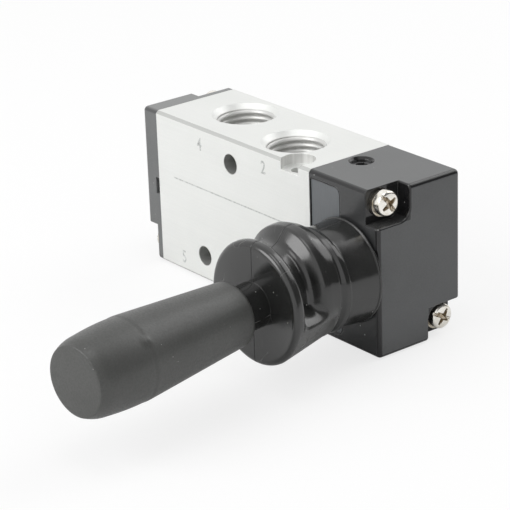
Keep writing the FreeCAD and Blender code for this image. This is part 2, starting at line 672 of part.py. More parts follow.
def make_washers(name, seat_x, outward, high_side):
    """Two split washers under the screw heads."""
    sign = "" if high_side > 0 else "-"
    body = new_body(name, z=AXIS_Z)
    ring = new_sketch(body, "YZ", (sign + SCREW_Y, SCREW_RISE, seat_x))
    circle(ring, "0", "0", "Dim.washer_r")
    circle(ring, "0", "0", SCREW_HOLE_R)
    pad = extrude(body, "Pad", ring, "Dim.washer_thickness", backwards=not outward)
    slit = new_sketch(body, "YZ", (sign + SCREW_Y, SCREW_RISE, seat_x))
    rectangle(slit, "-Dim.washer_slit / 2", "0", "Dim.washer_slit / 2", "Dim.washer_r + 1")
    cut = extrude(body, "Pocket", slit, "Dim.washer_thickness", backwards=outward)
    return pair_about_axis(body, [pad, cut])


def make_spool():
    """The spool: six lands with seal grooves, waists between them and a stub for the drive link."""
    body = new_body("spool", x="-" + HALF_STROKE, z=AXIS_Z)
    bar = new_sketch(body, "YZ")
    circle(bar, "0", "0", "Dim.bore_r - Dim.spool_gap")
    extrude(body, "Pad", bar, "2 * " + HALF_SPOOL, both=True)

    cuts = new_sketch(body, "XZ")
    top = "Dim.bore_r + 1"
    for middle in ("Dim.seal_inner", "Dim.seal_middle", OUTER_SEAL):
        half = "Dim.seal_groove / 2"
        rectangle(cuts, middle + " - " + half, "Dim.seal_root_r", middle + " + " + half, top)
    rectangle(cuts, "0", "Dim.waist_r", "Dim.seal_inner - Dim.land_half", top)
    rectangle(cuts, "Dim.seal_inner + Dim.land_half", "Dim.waist_r",
              "Dim.seal_middle - Dim.land_half", top)
    rectangle(cuts, "Dim.seal_middle + Dim.land_half", "Dim.waist_r",
              OUTER_SEAL + " - Dim.land_half", top)
    groove = revolve(body, "Groove", cuts, "H_Axis")
    mirror = body.newObject("PartDesign::Mirrored", "spool_mirror")
    mirror.Originals = [groove]
    mirror.MirrorPlane = (cuts, ["V_Axis"])
    body.Tip = mirror
    doc.recompute()

    stub = new_sketch(body, "YZ", ("0", "0", HALF_SPOOL))
    circle(stub, "0", "0", "Dim.stub_r")
    extrude(body, "Pad", stub, "Dim.stub_length")
    return body


def make_seals():
    """Six rubber rings in the spool's seal grooves, as one group."""
    rings = []
    for sign in ("-", ""):
        for place in ("Dim.seal_inner", "Dim.seal_middle", OUTER_SEAL):
            ring = doc.addObject("Part::Torus", "seal_ring")
            ring.setExpression("Radius1", "Dim.seal_root_r + " + SEAL_WIRE_R)
            ring.setExpression("Radius2", SEAL_WIRE_R)
            ring.Placement = FreeCAD.Placement(Vector(0, 0, 0), FreeCAD.Rotation(Vector(0, 1, 0), 90))
            bind(ring, Base_x=sign + place + " - " + HALF_STROKE, Base_z=AXIS_Z)
            rings.append(ring)
    group = doc.addObject("Part::Compound", "spool_seals")
    group.Label = "spool_seals"
    group.Links = rings
    return group


def make_drive_link():
    """The rod behind the spool, with two detent grooves and the slot for the lever's drive ball."""
    body = new_body("drive_link", x=LINK_X, z=AXIS_Z)
    slot_x = "(" + PIVOT_X + " - " + HALF_STROKE + " - " + LINK_X + ")"
    length = slot_x + " + Dim.link_tail"
    first = "(" + DETENT_X + " - " + LINK_X + ")"
    second = "(" + first + " - 2 * " + HALF_STROKE + ")"
    root = "Dim.link_r - Dim.detent_depth"
    profile = new_sketch(body, "XZ")
    outline(profile, [
        ("0", "0"),
        ("0", "Dim.link_r - Dim.link_edge"),
        ("Dim.link_edge", "Dim.link_r"),
        (second + " - Dim.detent_depth", "Dim.link_r"),
        (second, root),
        (second + " + Dim.detent_depth", "Dim.link_r"),
        (first + " - Dim.detent_depth", "Dim.link_r"),
        (first, root),
        (first + " + Dim.detent_depth", "Dim.link_r"),
        (length + " - Dim.link_edge", "Dim.link_r"),
        (length, "Dim.link_r - Dim.link_edge"),
        (length, "0"),
    ])
    revolve(body, "Revolution", profile, "H_Axis")

    socket = new_sketch(body, "YZ")
    circle(socket, "0", "0", "Dim.stub_r + Dim.stub_gap")
    extrude(body, "Pocket", socket, "Dim.stub_length + Dim.stop_gap", backwards=True)

    slot = new_sketch(body, "XY")
    half = "(Dim.ball_r + Dim.ball_gap)"
    rectangle(slot, slot_x + " - " + half, "-(Dim.link_r + 1)",
              slot_x + " + " + half, "Dim.ball_r + Dim.slot_back")
    extrude(body, "Pocket", slot, "2 * Dim.link_r + 1", both=True)
    return body


def make_guide_bush():
    """The brass ring that guides the drive link at the housing's mouth."""
    body = new_body("guide_bush", z=AXIS_Z)
    sketch = new_sketch(body, "YZ", ("0", "0", FACE_X))
    circle(sketch, "0", "0", "Dim.bush_r")
    circle(sketch, "0", "0", "Dim.link_r + Dim.bush_gap")
    extrude(body, "Pad", sketch, "Dim.bush_length")
    return body


def make_detent_ball():
    """The steel ball that drops into the drive link's grooves."""
    ball = doc.addObject("Part::Sphere", "detent_ball")
    ball.Label = "detent_ball"
    bind(ball, Radius="Dim.detent_ball_r", Base_x=DETENT_X, Base_z=AXIS_Z + " + " + BALL_LIFT)
    return ball


def make_detent_spring():
    """The coil spring between the set screw and the detent ball."""
    foot = "(" + AXIS_Z + " + " + BALL_LIFT + " + Dim.detent_ball_r + Dim.spring_wire_r)"
    body = new_body("detent_spring", x=DETENT_X, z=foot)
    wire = new_sketch(body, "XZ")
    circle(wire, "Dim.spring_r", "0", "Dim.spring_wire_r")
    helix = body.newObject("PartDesign::AdditiveHelix", "detent_spring_helix")
    helix.Profile = wire
    helix.ReferenceAxis = (wire, ["V_Axis"])
    helix.Mode = "height-turns-angle"
    helix.setExpression("Height", SET_SCREW_FOOT + " - " + foot + " - Dim.spring_wire_r")
    helix.setExpression("Turns", "Dim.spring_turns")
    helix.Angle = 0
    wire.Visibility = False
    doc.recompute()
    return body


def make_set_screw():
    """The socket set screw that loads the detent spring."""
    body = new_body("detent_set_screw", x=DETENT_X, z=SET_SCREW_FOOT)
    bar = new_sketch(body, "XY")
    circle(bar, "0", "0", "Dim.set_screw_r")
    extrude(body, "Pad", bar, "Dim.set_screw_length")
    socket = new_sketch(body, "XY", ("0", "0", "Dim.set_screw_length"))
    corner = "Dim.set_socket_r / cos(30)"
    outline(socket, [(corner + " * cos(%d)" % turn, corner + " * sin(%d)" % turn)
                     for turn in range(0, 360, 60)])
    extrude(body, "Pocket", socket, "Dim.set_socket_depth")
    return body


def make_lever_rod():
    """The lever rod along its own -Y: drive ball, neck, ball-shaped hub, shaft and threaded end."""
    body = new_body("lever_rod", x=PIVOT_X, y="-Dim.lever_arm", z=AXIS_Z, turn="Dim.lever_tilt")
    profile = new_sketch(body, "XY")
    shoulder = "-(Dim.handle_start + Dim.rod_shoulder)"
    tip = "-(Dim.handle_start + Dim.rod_shoulder + Dim.rod_thread_length)"
    outline(profile, [
        ("0", "Dim.lever_arm"),
        ("Dim.neck_r", "Dim.lever_arm"),
        ("Dim.neck_r", "0"),
        ("Dim.rod_r", "0"),
        ("Dim.rod_r", shoulder),
        ("Dim.rod_thread_r", shoulder),
        ("Dim.rod_thread_r", tip),
        ("0", tip),
    ])
    revolve(body, "Revolution", profile)
    for name, radius, place in (("drive_ball", "Dim.ball_r", "Dim.lever_arm"), ("hub", "Dim.hub_r", "0")):
        ball = body.newObject("PartDesign::AdditiveSphere", name)
        ball.setExpression("Radius", radius)
        ball.setExpression("Placement.Base.y", place)
        doc.recompute()
    hole = new_sketch(body, "XY")
    circle(hole, "0", "0", "Dim.pin_r + Dim.pin_gap")
    extrude(body, "Pocket", hole, "2 * Dim.hub_r + 1", both=True)
    return body


def make_pivot_pin():
    """The steel pin that the lever turns on, across the boss."""
    body = new_body("lever_pivot_pin", x=PIVOT_X, y="-Dim.lever_arm", z=AXIS_Z)
    sketch = new_sketch(body, "XY")
    circle(sketch, "0", "0", "Dim.pin_r")
    extrude(body, "Pad", sketch, "2 * (Dim.boss_r - Dim.pin_short)", both=True)
    return body


def make_handle():
    """The moulded handle, slimmer at the rod and rounded at the tip, with the insert's socket."""
    body = new_body("handle_grip", x=PIVOT_X, y="-Dim.lever_arm", z=AXIS_Z, turn="Dim.lever_tilt")
    near = "-Dim.handle_start"
    far = "-(Dim.handle_start + Dim.handle_length)"
    wide = "-(Dim.handle_start + Dim.handle_length - Dim.handle_wide_at)"
    lip = "-(Dim.handle_start + Dim.rod_shoulder + Dim.insert_lip)"
    floor = "-(Dim.handle_start + Dim.rod_shoulder + Dim.rod_thread_length + Dim.insert_lip)"
    profile = new_sketch(body, "XY")
    outline(profile, [
        ("Dim.insert_lip_r + Dim.insert_gap", near),
        ("Dim.handle_base_r", near, "Dim.handle_base_round"),
        ("Dim.handle_wide_r", wide, "Dim.handle_length"),
        ("Dim.handle_tip_r", far, "Dim.handle_tip_round"),
        ("0", far),
        ("0", floor),
        ("Dim.insert_r + Dim.insert_gap", floor),
        ("Dim.insert_r + Dim.insert_gap", lip),
        ("Dim.insert_lip_r + Dim.insert_gap", lip),
    ])
    revolve(body, "Revolution", profile)
    return body


def make_insert():
    """The flanged brass insert that joins the handle to the rod's thread."""
    body = new_body("handle_insert", x=PIVOT_X, y="-Dim.lever_arm", z=AXIS_Z, turn="Dim.lever_tilt")
    near = "-(Dim.handle_start + Dim.rod_shoulder)"
    lip = "-(Dim.handle_start + Dim.rod_shoulder + Dim.insert_lip)"
    far = "-(Dim.handle_start + Dim.rod_shoulder + Dim.insert_length)"
    inner = "Dim.rod_thread_r + Dim.insert_gap"
    profile = new_sketch(body, "XY")
    outline(profile, [
        (inner, near), ("Dim.insert_lip_r", near), ("Dim.insert_lip_r", lip),
        ("Dim.insert_r", lip), ("Dim.insert_r", far), (inner, far),
    ])
    revolve(body, "Revolution", profile)
    return body


def make_boot():
    """The rubber boot: collar on the boss and first fold upright, second fold and neck on the lever."""
    body = new_body("rubber_boot", x=PIVOT_X, z=AXIS_Z)
    start = "(" + FRONT_Y + " + Dim.boot_foot)"
    flange = "(" + FRONT_Y + " + Dim.boot_flange_at)"
    groove = "(" + flange + " + Dim.boot_flange_width)"
    fold = "(" + groove + " + Dim.boot_groove_width)"
    valley = "(" + fold + " + Dim.boot_fold_width)"
    inner = "Dim.boss_r + Dim.boot_gap"
    hollow = "Dim.boot_valley_r - Dim.boot_valley_wall"
    boss_tip = "(" + FRONT_Y + " + Dim.boss_length)"
    lower = new_sketch(body, "XY")
    outline(lower, [
        (inner, "-" + start),
        ("Dim.boot_bead_r", "-" + start),
        ("Dim.boot_bead_r", "-(" + start + " + Dim.boot_bead_width)"),
        ("Dim.boot_collar_r", "-(" + start + " + Dim.boot_bead_width)"),
        ("Dim.boot_collar_r", "-" + flange),
        ("Dim.boot_flange_r", "-" + flange),
        ("Dim.boot_flange_r", "-" + groove),
        ("Dim.boot_groove_r", "-" + groove),
        ("Dim.boot_groove_r", "-" + fold),
        ("Dim.boot_fold_r", "-" + fold, "Dim.boot_fold_width * 0.4"),
        ("Dim.boot_fold_r", "-(" + valley + ")", "Dim.boot_fold_width * 0.4"),
        ("Dim.boot_valley_r", "-(" + valley + ")"),
        ("Dim.boot_valley_r", "-(" + valley + " + Dim.boot_valley_width / 2)"),
        (hollow, "-(" + valley + " + Dim.boot_valley_width / 2)"),
        (hollow, "-(" + valley + " - Dim.boot_wall)"),
        (inner, "-(" + valley + " - Dim.boot_wall)"),
    ])
    revolve(body, "Revolution", lower)

    # The upper sketch is turned with the lever about the pivot
    disc = "Dim.boot_disc_at"
    back = "(Dim.boot_disc_at - Dim.boot_disc_width)"
    join = "(" + valley + " - Dim.lever_arm)"
    bore = "Dim.rod_r + Dim.boot_neck_gap"
    upper = new_sketch(body, "XY", ("0", "-Dim.lever_arm", "0"), turn="Dim.lever_tilt")
    outline(upper, [
        (hollow, "-" + join),
        ("Dim.boot_valley_r", "-" + join),
        ("Dim.boot_valley_r", "-" + back),
        ("Dim.boot_disc_r", "-" + back, "Dim.boot_disc_width * 0.4"),
        ("Dim.boot_disc_r", "-" + disc, "Dim.boot_disc_width * 0.4"),
        ("Dim.boot_neck_r", "-" + disc),
        ("Dim.boot_neck_r", "-(Dim.handle_start - Dim.boot_neck_short)"),
        (bore, "-(Dim.handle_start - Dim.boot_neck_short)"),
        (bore, "-(" + disc + " - Dim.boot_wall)"),
        (hollow, "-(" + disc + " - Dim.boot_wall)"),
    ])
    revolve(body, "Revolution", upper)
    return body


CAP_SEAT = "-(" + FACE_X + " + Dim.cap_notch_floor)"
CAP_SHANK = "Dim.cap_notch_floor + Dim.washer_thickness + Dim.screw_grip"
HOUSING_SEAT = FACE_X + " + Dim.housing_length - Dim.housing_notch_depth"
HOUSING_SHANK = ("Dim.housing_length - Dim.housing_notch_depth + Dim.washer_thickness"
                 " + Dim.screw_grip")

sub_parts = [
    make_valve_body(),
    make_end_cap(),
    make_gasket("end_cap_gasket", "-" + FACE_X, False),
    make_screws("end_cap_screws", CAP_SEAT, CAP_SHANK, False, 1),
    make_washers("end_cap_washers", CAP_SEAT, False, 1),
    make_bumper(),
    make_housing(),
    make_gasket("housing_gasket", FACE_X, True),
    make_screws("housing_screws", HOUSING_SEAT, HOUSING_SHANK, True, -1),
    make_washers("housing_washers", HOUSING_SEAT, True, -1),
    make_spool(),
    make_seals(),
    make_drive_link(),
    make_guide_bush(),
    make_detent_ball(),
    make_detent_spring(),
    make_set_screw(),
    make_lever_rod(),
    make_pivot_pin(),
    make_insert(),
    make_handle(),
    make_boot(),
]
doc.recompute()

failed = [item.Label for item in doc.Objects if {"Invalid", "Error"} & set(item.State)]
for item in sub_parts:
    if item.Shape.isNull() or not item.Shape.isValid():
        failed.append(item.Label)
if failed:
    raise RuntimeError("failed: " + ", ".join(failed))

os.makedirs("parts", exist_ok=True)
for item in sub_parts:
    item.Shape.exportStep(os.path.join("parts", item.Label + ".step"))
    print("%-18s %d solids %10.2f mm3" % (item.Label, len(item.Shape.Solids), item.Shape.Volume))
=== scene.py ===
import json
import math

import bmesh
import bpy
import numpy as np
from mathutils import Euler, Matrix, Vector


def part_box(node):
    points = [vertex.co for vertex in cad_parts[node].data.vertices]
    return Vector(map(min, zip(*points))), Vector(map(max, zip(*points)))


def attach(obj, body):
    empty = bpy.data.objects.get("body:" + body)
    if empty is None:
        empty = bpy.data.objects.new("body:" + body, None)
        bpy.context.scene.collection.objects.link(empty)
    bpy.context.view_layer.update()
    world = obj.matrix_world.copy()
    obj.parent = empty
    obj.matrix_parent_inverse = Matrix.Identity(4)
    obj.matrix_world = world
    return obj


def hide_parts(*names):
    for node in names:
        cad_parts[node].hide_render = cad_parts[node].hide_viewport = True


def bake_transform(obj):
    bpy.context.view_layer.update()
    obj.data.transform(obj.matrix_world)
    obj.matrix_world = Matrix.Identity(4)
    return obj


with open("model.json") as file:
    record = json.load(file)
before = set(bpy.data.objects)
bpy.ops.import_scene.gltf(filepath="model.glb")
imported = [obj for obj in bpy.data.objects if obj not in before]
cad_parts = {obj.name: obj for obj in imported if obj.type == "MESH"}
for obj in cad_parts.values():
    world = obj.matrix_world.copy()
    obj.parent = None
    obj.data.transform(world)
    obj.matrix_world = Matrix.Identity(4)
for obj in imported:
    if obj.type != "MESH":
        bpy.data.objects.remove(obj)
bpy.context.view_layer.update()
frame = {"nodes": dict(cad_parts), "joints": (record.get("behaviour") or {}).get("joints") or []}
scene = bpy.context.scene
mm = 0.001
joinDistance = 1e-7

# where the lever turns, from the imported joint, and how far it leans at rest
hinge = [joint for joint in frame["joints"] if joint["name"] == "lever_swing"][0]
pivot = np.array(hinge["pos_m"])
leverTilt = math.radians(7.0)
bodyLow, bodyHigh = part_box("valve_body")
frontY = float(bodyLow.y)
print("frame loaded, lever pivot at", pivot)


def cornersToProfile(corners, arcSteps=8):
    # straight runs between corners (along, radius, rounding); a rounded corner becomes an arc
    # tangent to both runs, sampled at equal angles
    places = np.array([corner[:2] for corner in corners], float)
    points = [places[:1]]
    for before, place, after, corner in zip(places, places[1:], places[2:], corners[1:]):
        if len(corner) < 3:
            points.append(place[None, :])
            continue
        rounding = corner[2]
        back = (before - place) / np.linalg.norm(before - place)
        ahead = (after - place) / np.linalg.norm(after - place)
        half = math.acos(np.clip(back @ ahead, -1, 1)) / 2
        middle = (back + ahead) / np.linalg.norm(back + ahead)
        centre = place + middle * rounding / math.sin(half)
        first = place + back * rounding / math.tan(half) - centre
        last = place + ahead * rounding / math.tan(half) - centre
        sweep = math.acos(np.clip(first @ last / rounding ** 2, -1, 1))
        share = np.linspace(0, 1, arcSteps + 1)[:, None]
        arc = np.sin((1 - share) * sweep) * first + np.sin(share * sweep) * last
        points.append(centre + arc / math.sin(sweep))
    return np.concatenate(points + [places[-1:]])


def evenRuns(profile, longest):
    # adds points on a profile's long runs, so that no step is longer than the given length
    steps = np.linalg.norm(np.diff(profile, axis=0), axis=1)
    counts = np.maximum(1, np.ceil(steps / longest)).astype(int)
    pieces = [a + (b - a) * np.linspace(0, 1, n, endpoint=False)[:, None]
              for a, b, n in zip(profile[:-1], profile[1:], counts)]
    return np.concatenate(pieces + [profile[-1:]])


def addObject(name, data):
    piece = bpy.data.objects.new(name, data)
    scene.collection.objects.link(piece)
    return piece


def squares(values):
    # the four neighbours of each small square of a grid
    return np.stack([values[:-1, :-1], values[:-1, 1:], values[1:, 1:], values[1:, :-1]], axis=2)


def gridObject(name, grid, wrapRows=False, keepUv=False, across=None):
    # grid[i, j] is a point in metres; its columns run once round, and each small square becomes one
    # face; across is a value of each point that takes the place of v in the UV map
    rows, columns = grid.shape[:2]
    index = np.arange(rows * columns).reshape(rows, columns)
    if wrapRows:
        index = np.concatenate([index, index[:1]])
    index = np.concatenate([index, index[:, :1]], axis=1)
    mesh = bpy.data.meshes.new(name)
    mesh.from_pydata(grid.reshape(-1, 3).tolist(), [], squares(index).reshape(-1, 4).tolist())
    if keepUv:
        # u runs once round the columns and v along the rows, from 0 to 1
        u, v = np.meshgrid(np.linspace(0, 1, index.shape[1]), np.linspace(0, 1, index.shape[0]))
        if across is not None:
            v = across.reshape(-1)[index]
        layer = mesh.uv_layers.new(name="surface")
        uv = squares(np.stack([u, v], axis=-1))
        layer.data.foreach_set("uv", uv.reshape(-1).astype(np.float32))
    piece = addObject(name, mesh)
    closeSeams(mesh)
    mesh.polygons.foreach_set("use_smooth", np.ones(len(mesh.polygons), bool))
    return piece


def closeSeams(mesh):
    # joins points that lie on each other and turns all faces outwards
    work = bmesh.new()
    work.from_mesh(mesh)
    bmesh.ops.remove_doubles(work, verts=work.verts, dist=joinDistance)
    bmesh.ops.dissolve_degenerate(work, edges=work.edges, dist=joinDistance)
    bmesh.ops.recalc_face_normals(work, faces=work.faces)
    work.to_mesh(mesh)
    work.free()


def sharpen(piece, degrees):
    # edges that turn more than this stay crisp, all others are shaded smooth
    work = bmesh.new()
    work.from_mesh(piece.data)
    for edge in work.edges:
        edge.smooth = len(edge.link_faces) != 2 or edge.calc_face_angle(0) < math.radians(degrees)
    work.to_mesh(piece.data)
    work.free()


def joinPieces(name, pieces):
    # several meshes become one object, with their points as they are
    work = bmesh.new()
    for piece in pieces:
        work.from_mesh(piece.data)
        bpy.data.objects.remove(piece)
    mesh = bpy.data.meshes.new(name)
    work.to_mesh(mesh)
    work.free()
    return addObject(name, mesh)


def turnedGrid(profile, centres, tilts, segments):
    # a radius at each step of a path: each ring lies square to the local axis, which is -Y turned
    # about Z by the tilt, and its angle runs once round
    angle = np.linspace(0, 2 * math.pi, segments, endpoint=False)
    side = np.stack([np.cos(tilts), np.sin(tilts), np.zeros_like(tilts)], axis=-1)
    up = np.array([0.0, 0.0, 1.0])
    ring = side[:, None, :] * np.cos(angle)[None, :, None] + up * np.sin(angle)[None, :, None]
    return centres[:, None, :] + profile[:, None, None] * ring


def alongLever(distance, tilt):
    # the point at a distance from the pivot along -Y turned about Z by the tilt
    return pivot + distance[:, None] * np.stack(
        [np.sin(tilt), -np.cos(tilt), np.zeros_like(tilt)], axis=-1)


def smoothStep(share):
    # 0 below 0, 1 above 1 and a smooth rise between
    share = np.clip(share, 0, 1)
    return share * share * (3 - 2 * share)


def angleFrom(degrees, segments):
    # each segment's angle round the axis, from a given one, within half a turn to either side
    angle = np.linspace(0, 2 * math.pi, segments, endpoint=False)
    return np.angle(np.exp(1j * (angle - math.radians(degrees))))


class Shading:
    # a node tree, with short calls for the nodes that the materials and groups are made of
    def __init__(self, tree, place=None, material=None):
        self.tree = tree
        self.place = place
        self.material = material

    def feed(self, socket, value):
        if isinstance(value, bpy.types.NodeSocket):
            self.tree.links.new(value, socket)
        else:
            socket.default_value = value

    def node(self, kind, settings=None, *values, **inputs):
        # values go to the sockets in their order, inputs to those of that name, less its spaces
        node = self.tree.nodes.new(kind)
        for key, value in (settings or {}).items():
            setattr(node, key, value)
        for socket, value in zip(node.inputs, values):
            self.feed(socket, value)
        for key, value in inputs.items():
            self.feed([socket for socket in node.inputs if socket.name.replace(" ", "") == key][0], value)
        return node

    def use(self, group, **inputs):
        settings = {"node_tree": group}
        return self.node("ShaderNodeGroup", settings, Vector=self.place, **inputs).outputs

    def output(self, **values):
        # makes and feeds a group's outputs
        for label in values:
            kind = "NodeSocketVector" if label == "Normal" else "NodeSocketFloat"
            self.tree.interface.new_socket(name=label, in_out="OUTPUT", socket_type=kind)
        self.node("NodeGroupOutput", **values)
        return self.tree

    def math(self, operation, *values, clamp=False):
        settings = {"operation": operation, "use_clamp": clamp}
        return self.node("ShaderNodeMath", settings, *values).outputs[0]

    def vectorMath(self, operation, *values):
        return self.node("ShaderNodeVectorMath", {"operation": operation}, *values).outputs

    def times(self, product, *others):
        for other in others:
            product = self.math("MULTIPLY", product, other)
        return product

    def most(self, value, *others):
        for other in others:
            value = self.math("MAXIMUM", value, other)
        return value

    def more(self, value, mask, amount, clamp=False):
        # the value, raised by an amount where the mask is 1
        return self.math("MULTIPLY_ADD", mask, amount, value, clamp=clamp)

    def remap(self, value, low, high, toLow=0.0, toHigh=1.0, smooth=False):
        settings = {"interpolation_type": "SMOOTHSTEP" if smooth else "LINEAR"}
        return self.node("ShaderNodeMapRange", settings, value, low, high, toLow, toHigh).outputs[0]

    def spread(self, mask, low, high):
        # 0 to 1 becomes low to high
        return self.remap(mask, 0.0, 1.0, low, high)

    def mix(self, share, first, second):
        node = self.node("ShaderNodeMix", {"data_type": "RGBA"})
        for index, value in ((0, share), (6, first), (7, second)):
            self.feed(node.inputs[index], (*value, 1) if isinstance(value, tuple) else value)
        return node.outputs[2]

    def noise(self, size, detail=3.0, roughness=0.5, stretch=None, turn=(0, 0, 0)):
        # a noise on the place, drawn out along the axes where stretch is small
        place = self.place
        if stretch:
            mapping = self.node("ShaderNodeMapping", Vector=place, Rotation=turn, Scale=stretch)
            place = mapping.outputs[0]
        return self.node("ShaderNodeTexNoise", Vector=place, Scale=size, Detail=detail,
                         Roughness=roughness).outputs["Fac"]

    def split(self, vector):
        return self.node("ShaderNodeSeparateXYZ", None, vector).outputs

    def uv(self):
        return self.split(self.node("ShaderNodeUVMap", {"uv_map": "surface"}).outputs[0])

    def corners(self, flat, bent):
        # 0 where the surface faces along one of the axes, 1 where it is rounded or bevelled: the
        # largest part of the object's own normal is 1 on a flat face and less on a corner
        parts = self.split(self.node("ShaderNodeTexCoord").outputs["Normal"])
        sizes = [self.math("ABSOLUTE", parts[i]) for i in range(3)]
        return self.remap(self.most(*sizes), flat, bent), sizes

    def finish(self, base, rough, relief=None, normal=None, metallic=0.0, specular=0.5):
        # relief is a height with the strength and distance of its bump
        shader = self.tree.nodes["Principled BSDF"].inputs
        self.feed(shader["Base Color"], base)
        self.feed(shader["Roughness"], rough)
        shader["Metallic"].default_value = metallic
        shader["Specular IOR Level"].default_value = specular
        if relief:
            height, strength, distance = relief
            bump = self.node("ShaderNodeBump", Height=height, Strength=strength, Distance=distance)
            if normal is not None:
                self.feed(bump.inputs["Normal"], normal)
            self.feed(shader["Normal"], bump.outputs[0])
        return self.material


def newGroup(name, inputs):
    # inputs are numbers by name, or None for a vector; all groups have the vector that comes first
    group = bpy.data.node_groups.new(name, "ShaderNodeTree")
    for label, value in {"Vector": None, **inputs}.items():
        kind = "NodeSocketVector" if value is None else "NodeSocketFloat"
        socket = group.interface.new_socket(name=label, in_out="INPUT", socket_type=kind)
        if value is not None:
            socket.default_value = value
    source = group.nodes.new("NodeGroupInput").outputs
    return Shading(group, source["Vector"]), source


def newMaterial(name, colour):
    material = bpy.data.materials.new(name)
    material.use_nodes = True
    material.diffuse_color = (*colour, 1)
    tree = material.node_tree
    return Shading(tree, tree.nodes.new("ShaderNodeTexCoord").outputs["Object"], material)


def buildGrain():
    # fine grain: two noises of different size added, as a height and as a mask round one half
    s, source = newGroup("fineGrain", {"Size": 3000.0, "Coarse Share": 0.3})
    fine = s.noise(source["Size"], 2.0, 0.6)
    coarse = s.times(s.noise(s.times(source["Size"], 0.18), 2.0), source["Coarse Share"])
    return s.output(Height=s.math("ADD", fine, coarse), Mask=s.remap(fine, 0.35, 0.65))


def buildDust():
    # dust: rare specks where a cell noise is near its cell's middle, kept in patches by a wide noise
    s, source = newGroup("dustSpecks", {"Size": 900.0, "Amount": 0.1, "Radius": 0.16})
    cells = s.node("ShaderNodeTexVoronoi", Vector=s.place, Scale=source["Size"]).outputs
    near = s.math("LESS_THAN", cells["Distance"], source["Radius"])
    tone = s.node("ShaderNodeSeparateColor", Color=cells["Color"]).outputs[0]
    chosen = s.math("LESS_THAN", tone, source["Amount"])
    return s.output(Mask=s.times(near, chosen, s.remap(s.noise(160.0, 2.0), 0.45, 0.6, smooth=True)))


def buildWearAndGlint():
    # edge wear, and on the paint a painted glint: where a rounded normal differs from the true one an
    # edge is near; a noise breaks it up
    s, source = newGroup("edgeWearAndGlint", {"Radius": 0.0003, "Break Up": 1200.0, "Amount": 0.5})
    rounded = s.node("ShaderNodeBevel", {"samples": 6}, Radius=source["Radius"]).outputs[0]
    true = s.node("ShaderNodeNewGeometry").outputs["Normal"]
    bend = s.remap(s.vectorMath("DOT_PRODUCT", rounded, true)["Value"], 0.995, 0.86)
    worn = s.times(bend, s.remap(s.noise(source["Break Up"], 4.0), 0.4, 0.62))
    return s.output(Mask=s.math("MULTIPLY", worn, source["Amount"], clamp=True), Normal=rounded)


def buildBoreMask():
    # 1 within a radius of a straight line: the way from the centre, less its part along the line
    # (Keep is 0 in that direction), has a length, and the mask fades over a tenth of a millimetre
    s, source = newGroup("insideBore", {"Centre": None, "Keep": None, "Radius": 0.006})
    away = s.vectorMath("SUBTRACT", s.place, source["Centre"])[0]
    flat = s.vectorMath("MULTIPLY", away, source["Keep"])[0]
    beyond = s.math("SUBTRACT", s.vectorMath("LENGTH", flat)["Value"], source["Radius"])
    return s.output(Mask=s.remap(beyond, 0.0001, 0.0))


grainGroup = buildGrain()
boreGroup = buildBoreMask()
dustGroup = buildDust()
wearAndGlintGroup = buildWearAndGlint()
print("shared node groups built")


def scaled(values, factor):
    return tuple(part * factor for part in values)


# port and hole are painted shade colours inside the tapped ports and the cross holes
metalLook = {
    "roughness": 0.44, "metallic": 0.5, "grainSize": 5200.0, "grainHeight": 0.000014,
    "dark": (0.75, 0.76, 0.74), "pale": (0.805, 0.812, 0.792),
    "drawLine": (0.62, 0.63, 0.62), "speck": (0.6, 0.61, 0.6), "worn": (0.92, 0.92, 0.91),
    "bevel": (0.4, 0.405, 0.39), "bevelFrom": 9.8, "bevelTo": 9.9,
    "port": (0.62, 0.62, 0.605), "hole": (0.45, 0.455, 0.44),
    "seatDark": (0.6, 0.6, 0.585), "seatPale": (0.78, 0.78, 0.765),
}

# a point on each hole's axis and the radius, in millimetres
bores = {
    "top": [((-10.65, 1.8, 0), 6.22), ((10.65, -1.8, 0), 6.22)],
    "low": [((0, 0, 0), 6.22), ((-18.3, 0, 0), 4.65), ((18.3, 0, 0), 4.65)],
    "cross": [((0, 0, 29.4), 2.2), ((-10.2, 0, 5.7), 2.2), ((10.2, 0, 5.7), 2.2)],
    "seat": [((19.6, -8.6, 0), 3.66)],
    "seatFloor": 32.75, "seatFade": 0.1, "middle": 17.5,
}


def boreMask(s, kind):
    # the strongest of the masks of one kind of hole; cross holes run along Y, the others upright
    keep = (1, 0, 1) if kind == "cross" else (1, 1, 0)
    masks = [s.use(boreGroup, Centre=scaled(centre, mm), Keep=keep, Radius=radius * mm)["Mask"]
             for centre, radius in bores[kind]]
    return s.most(*masks)


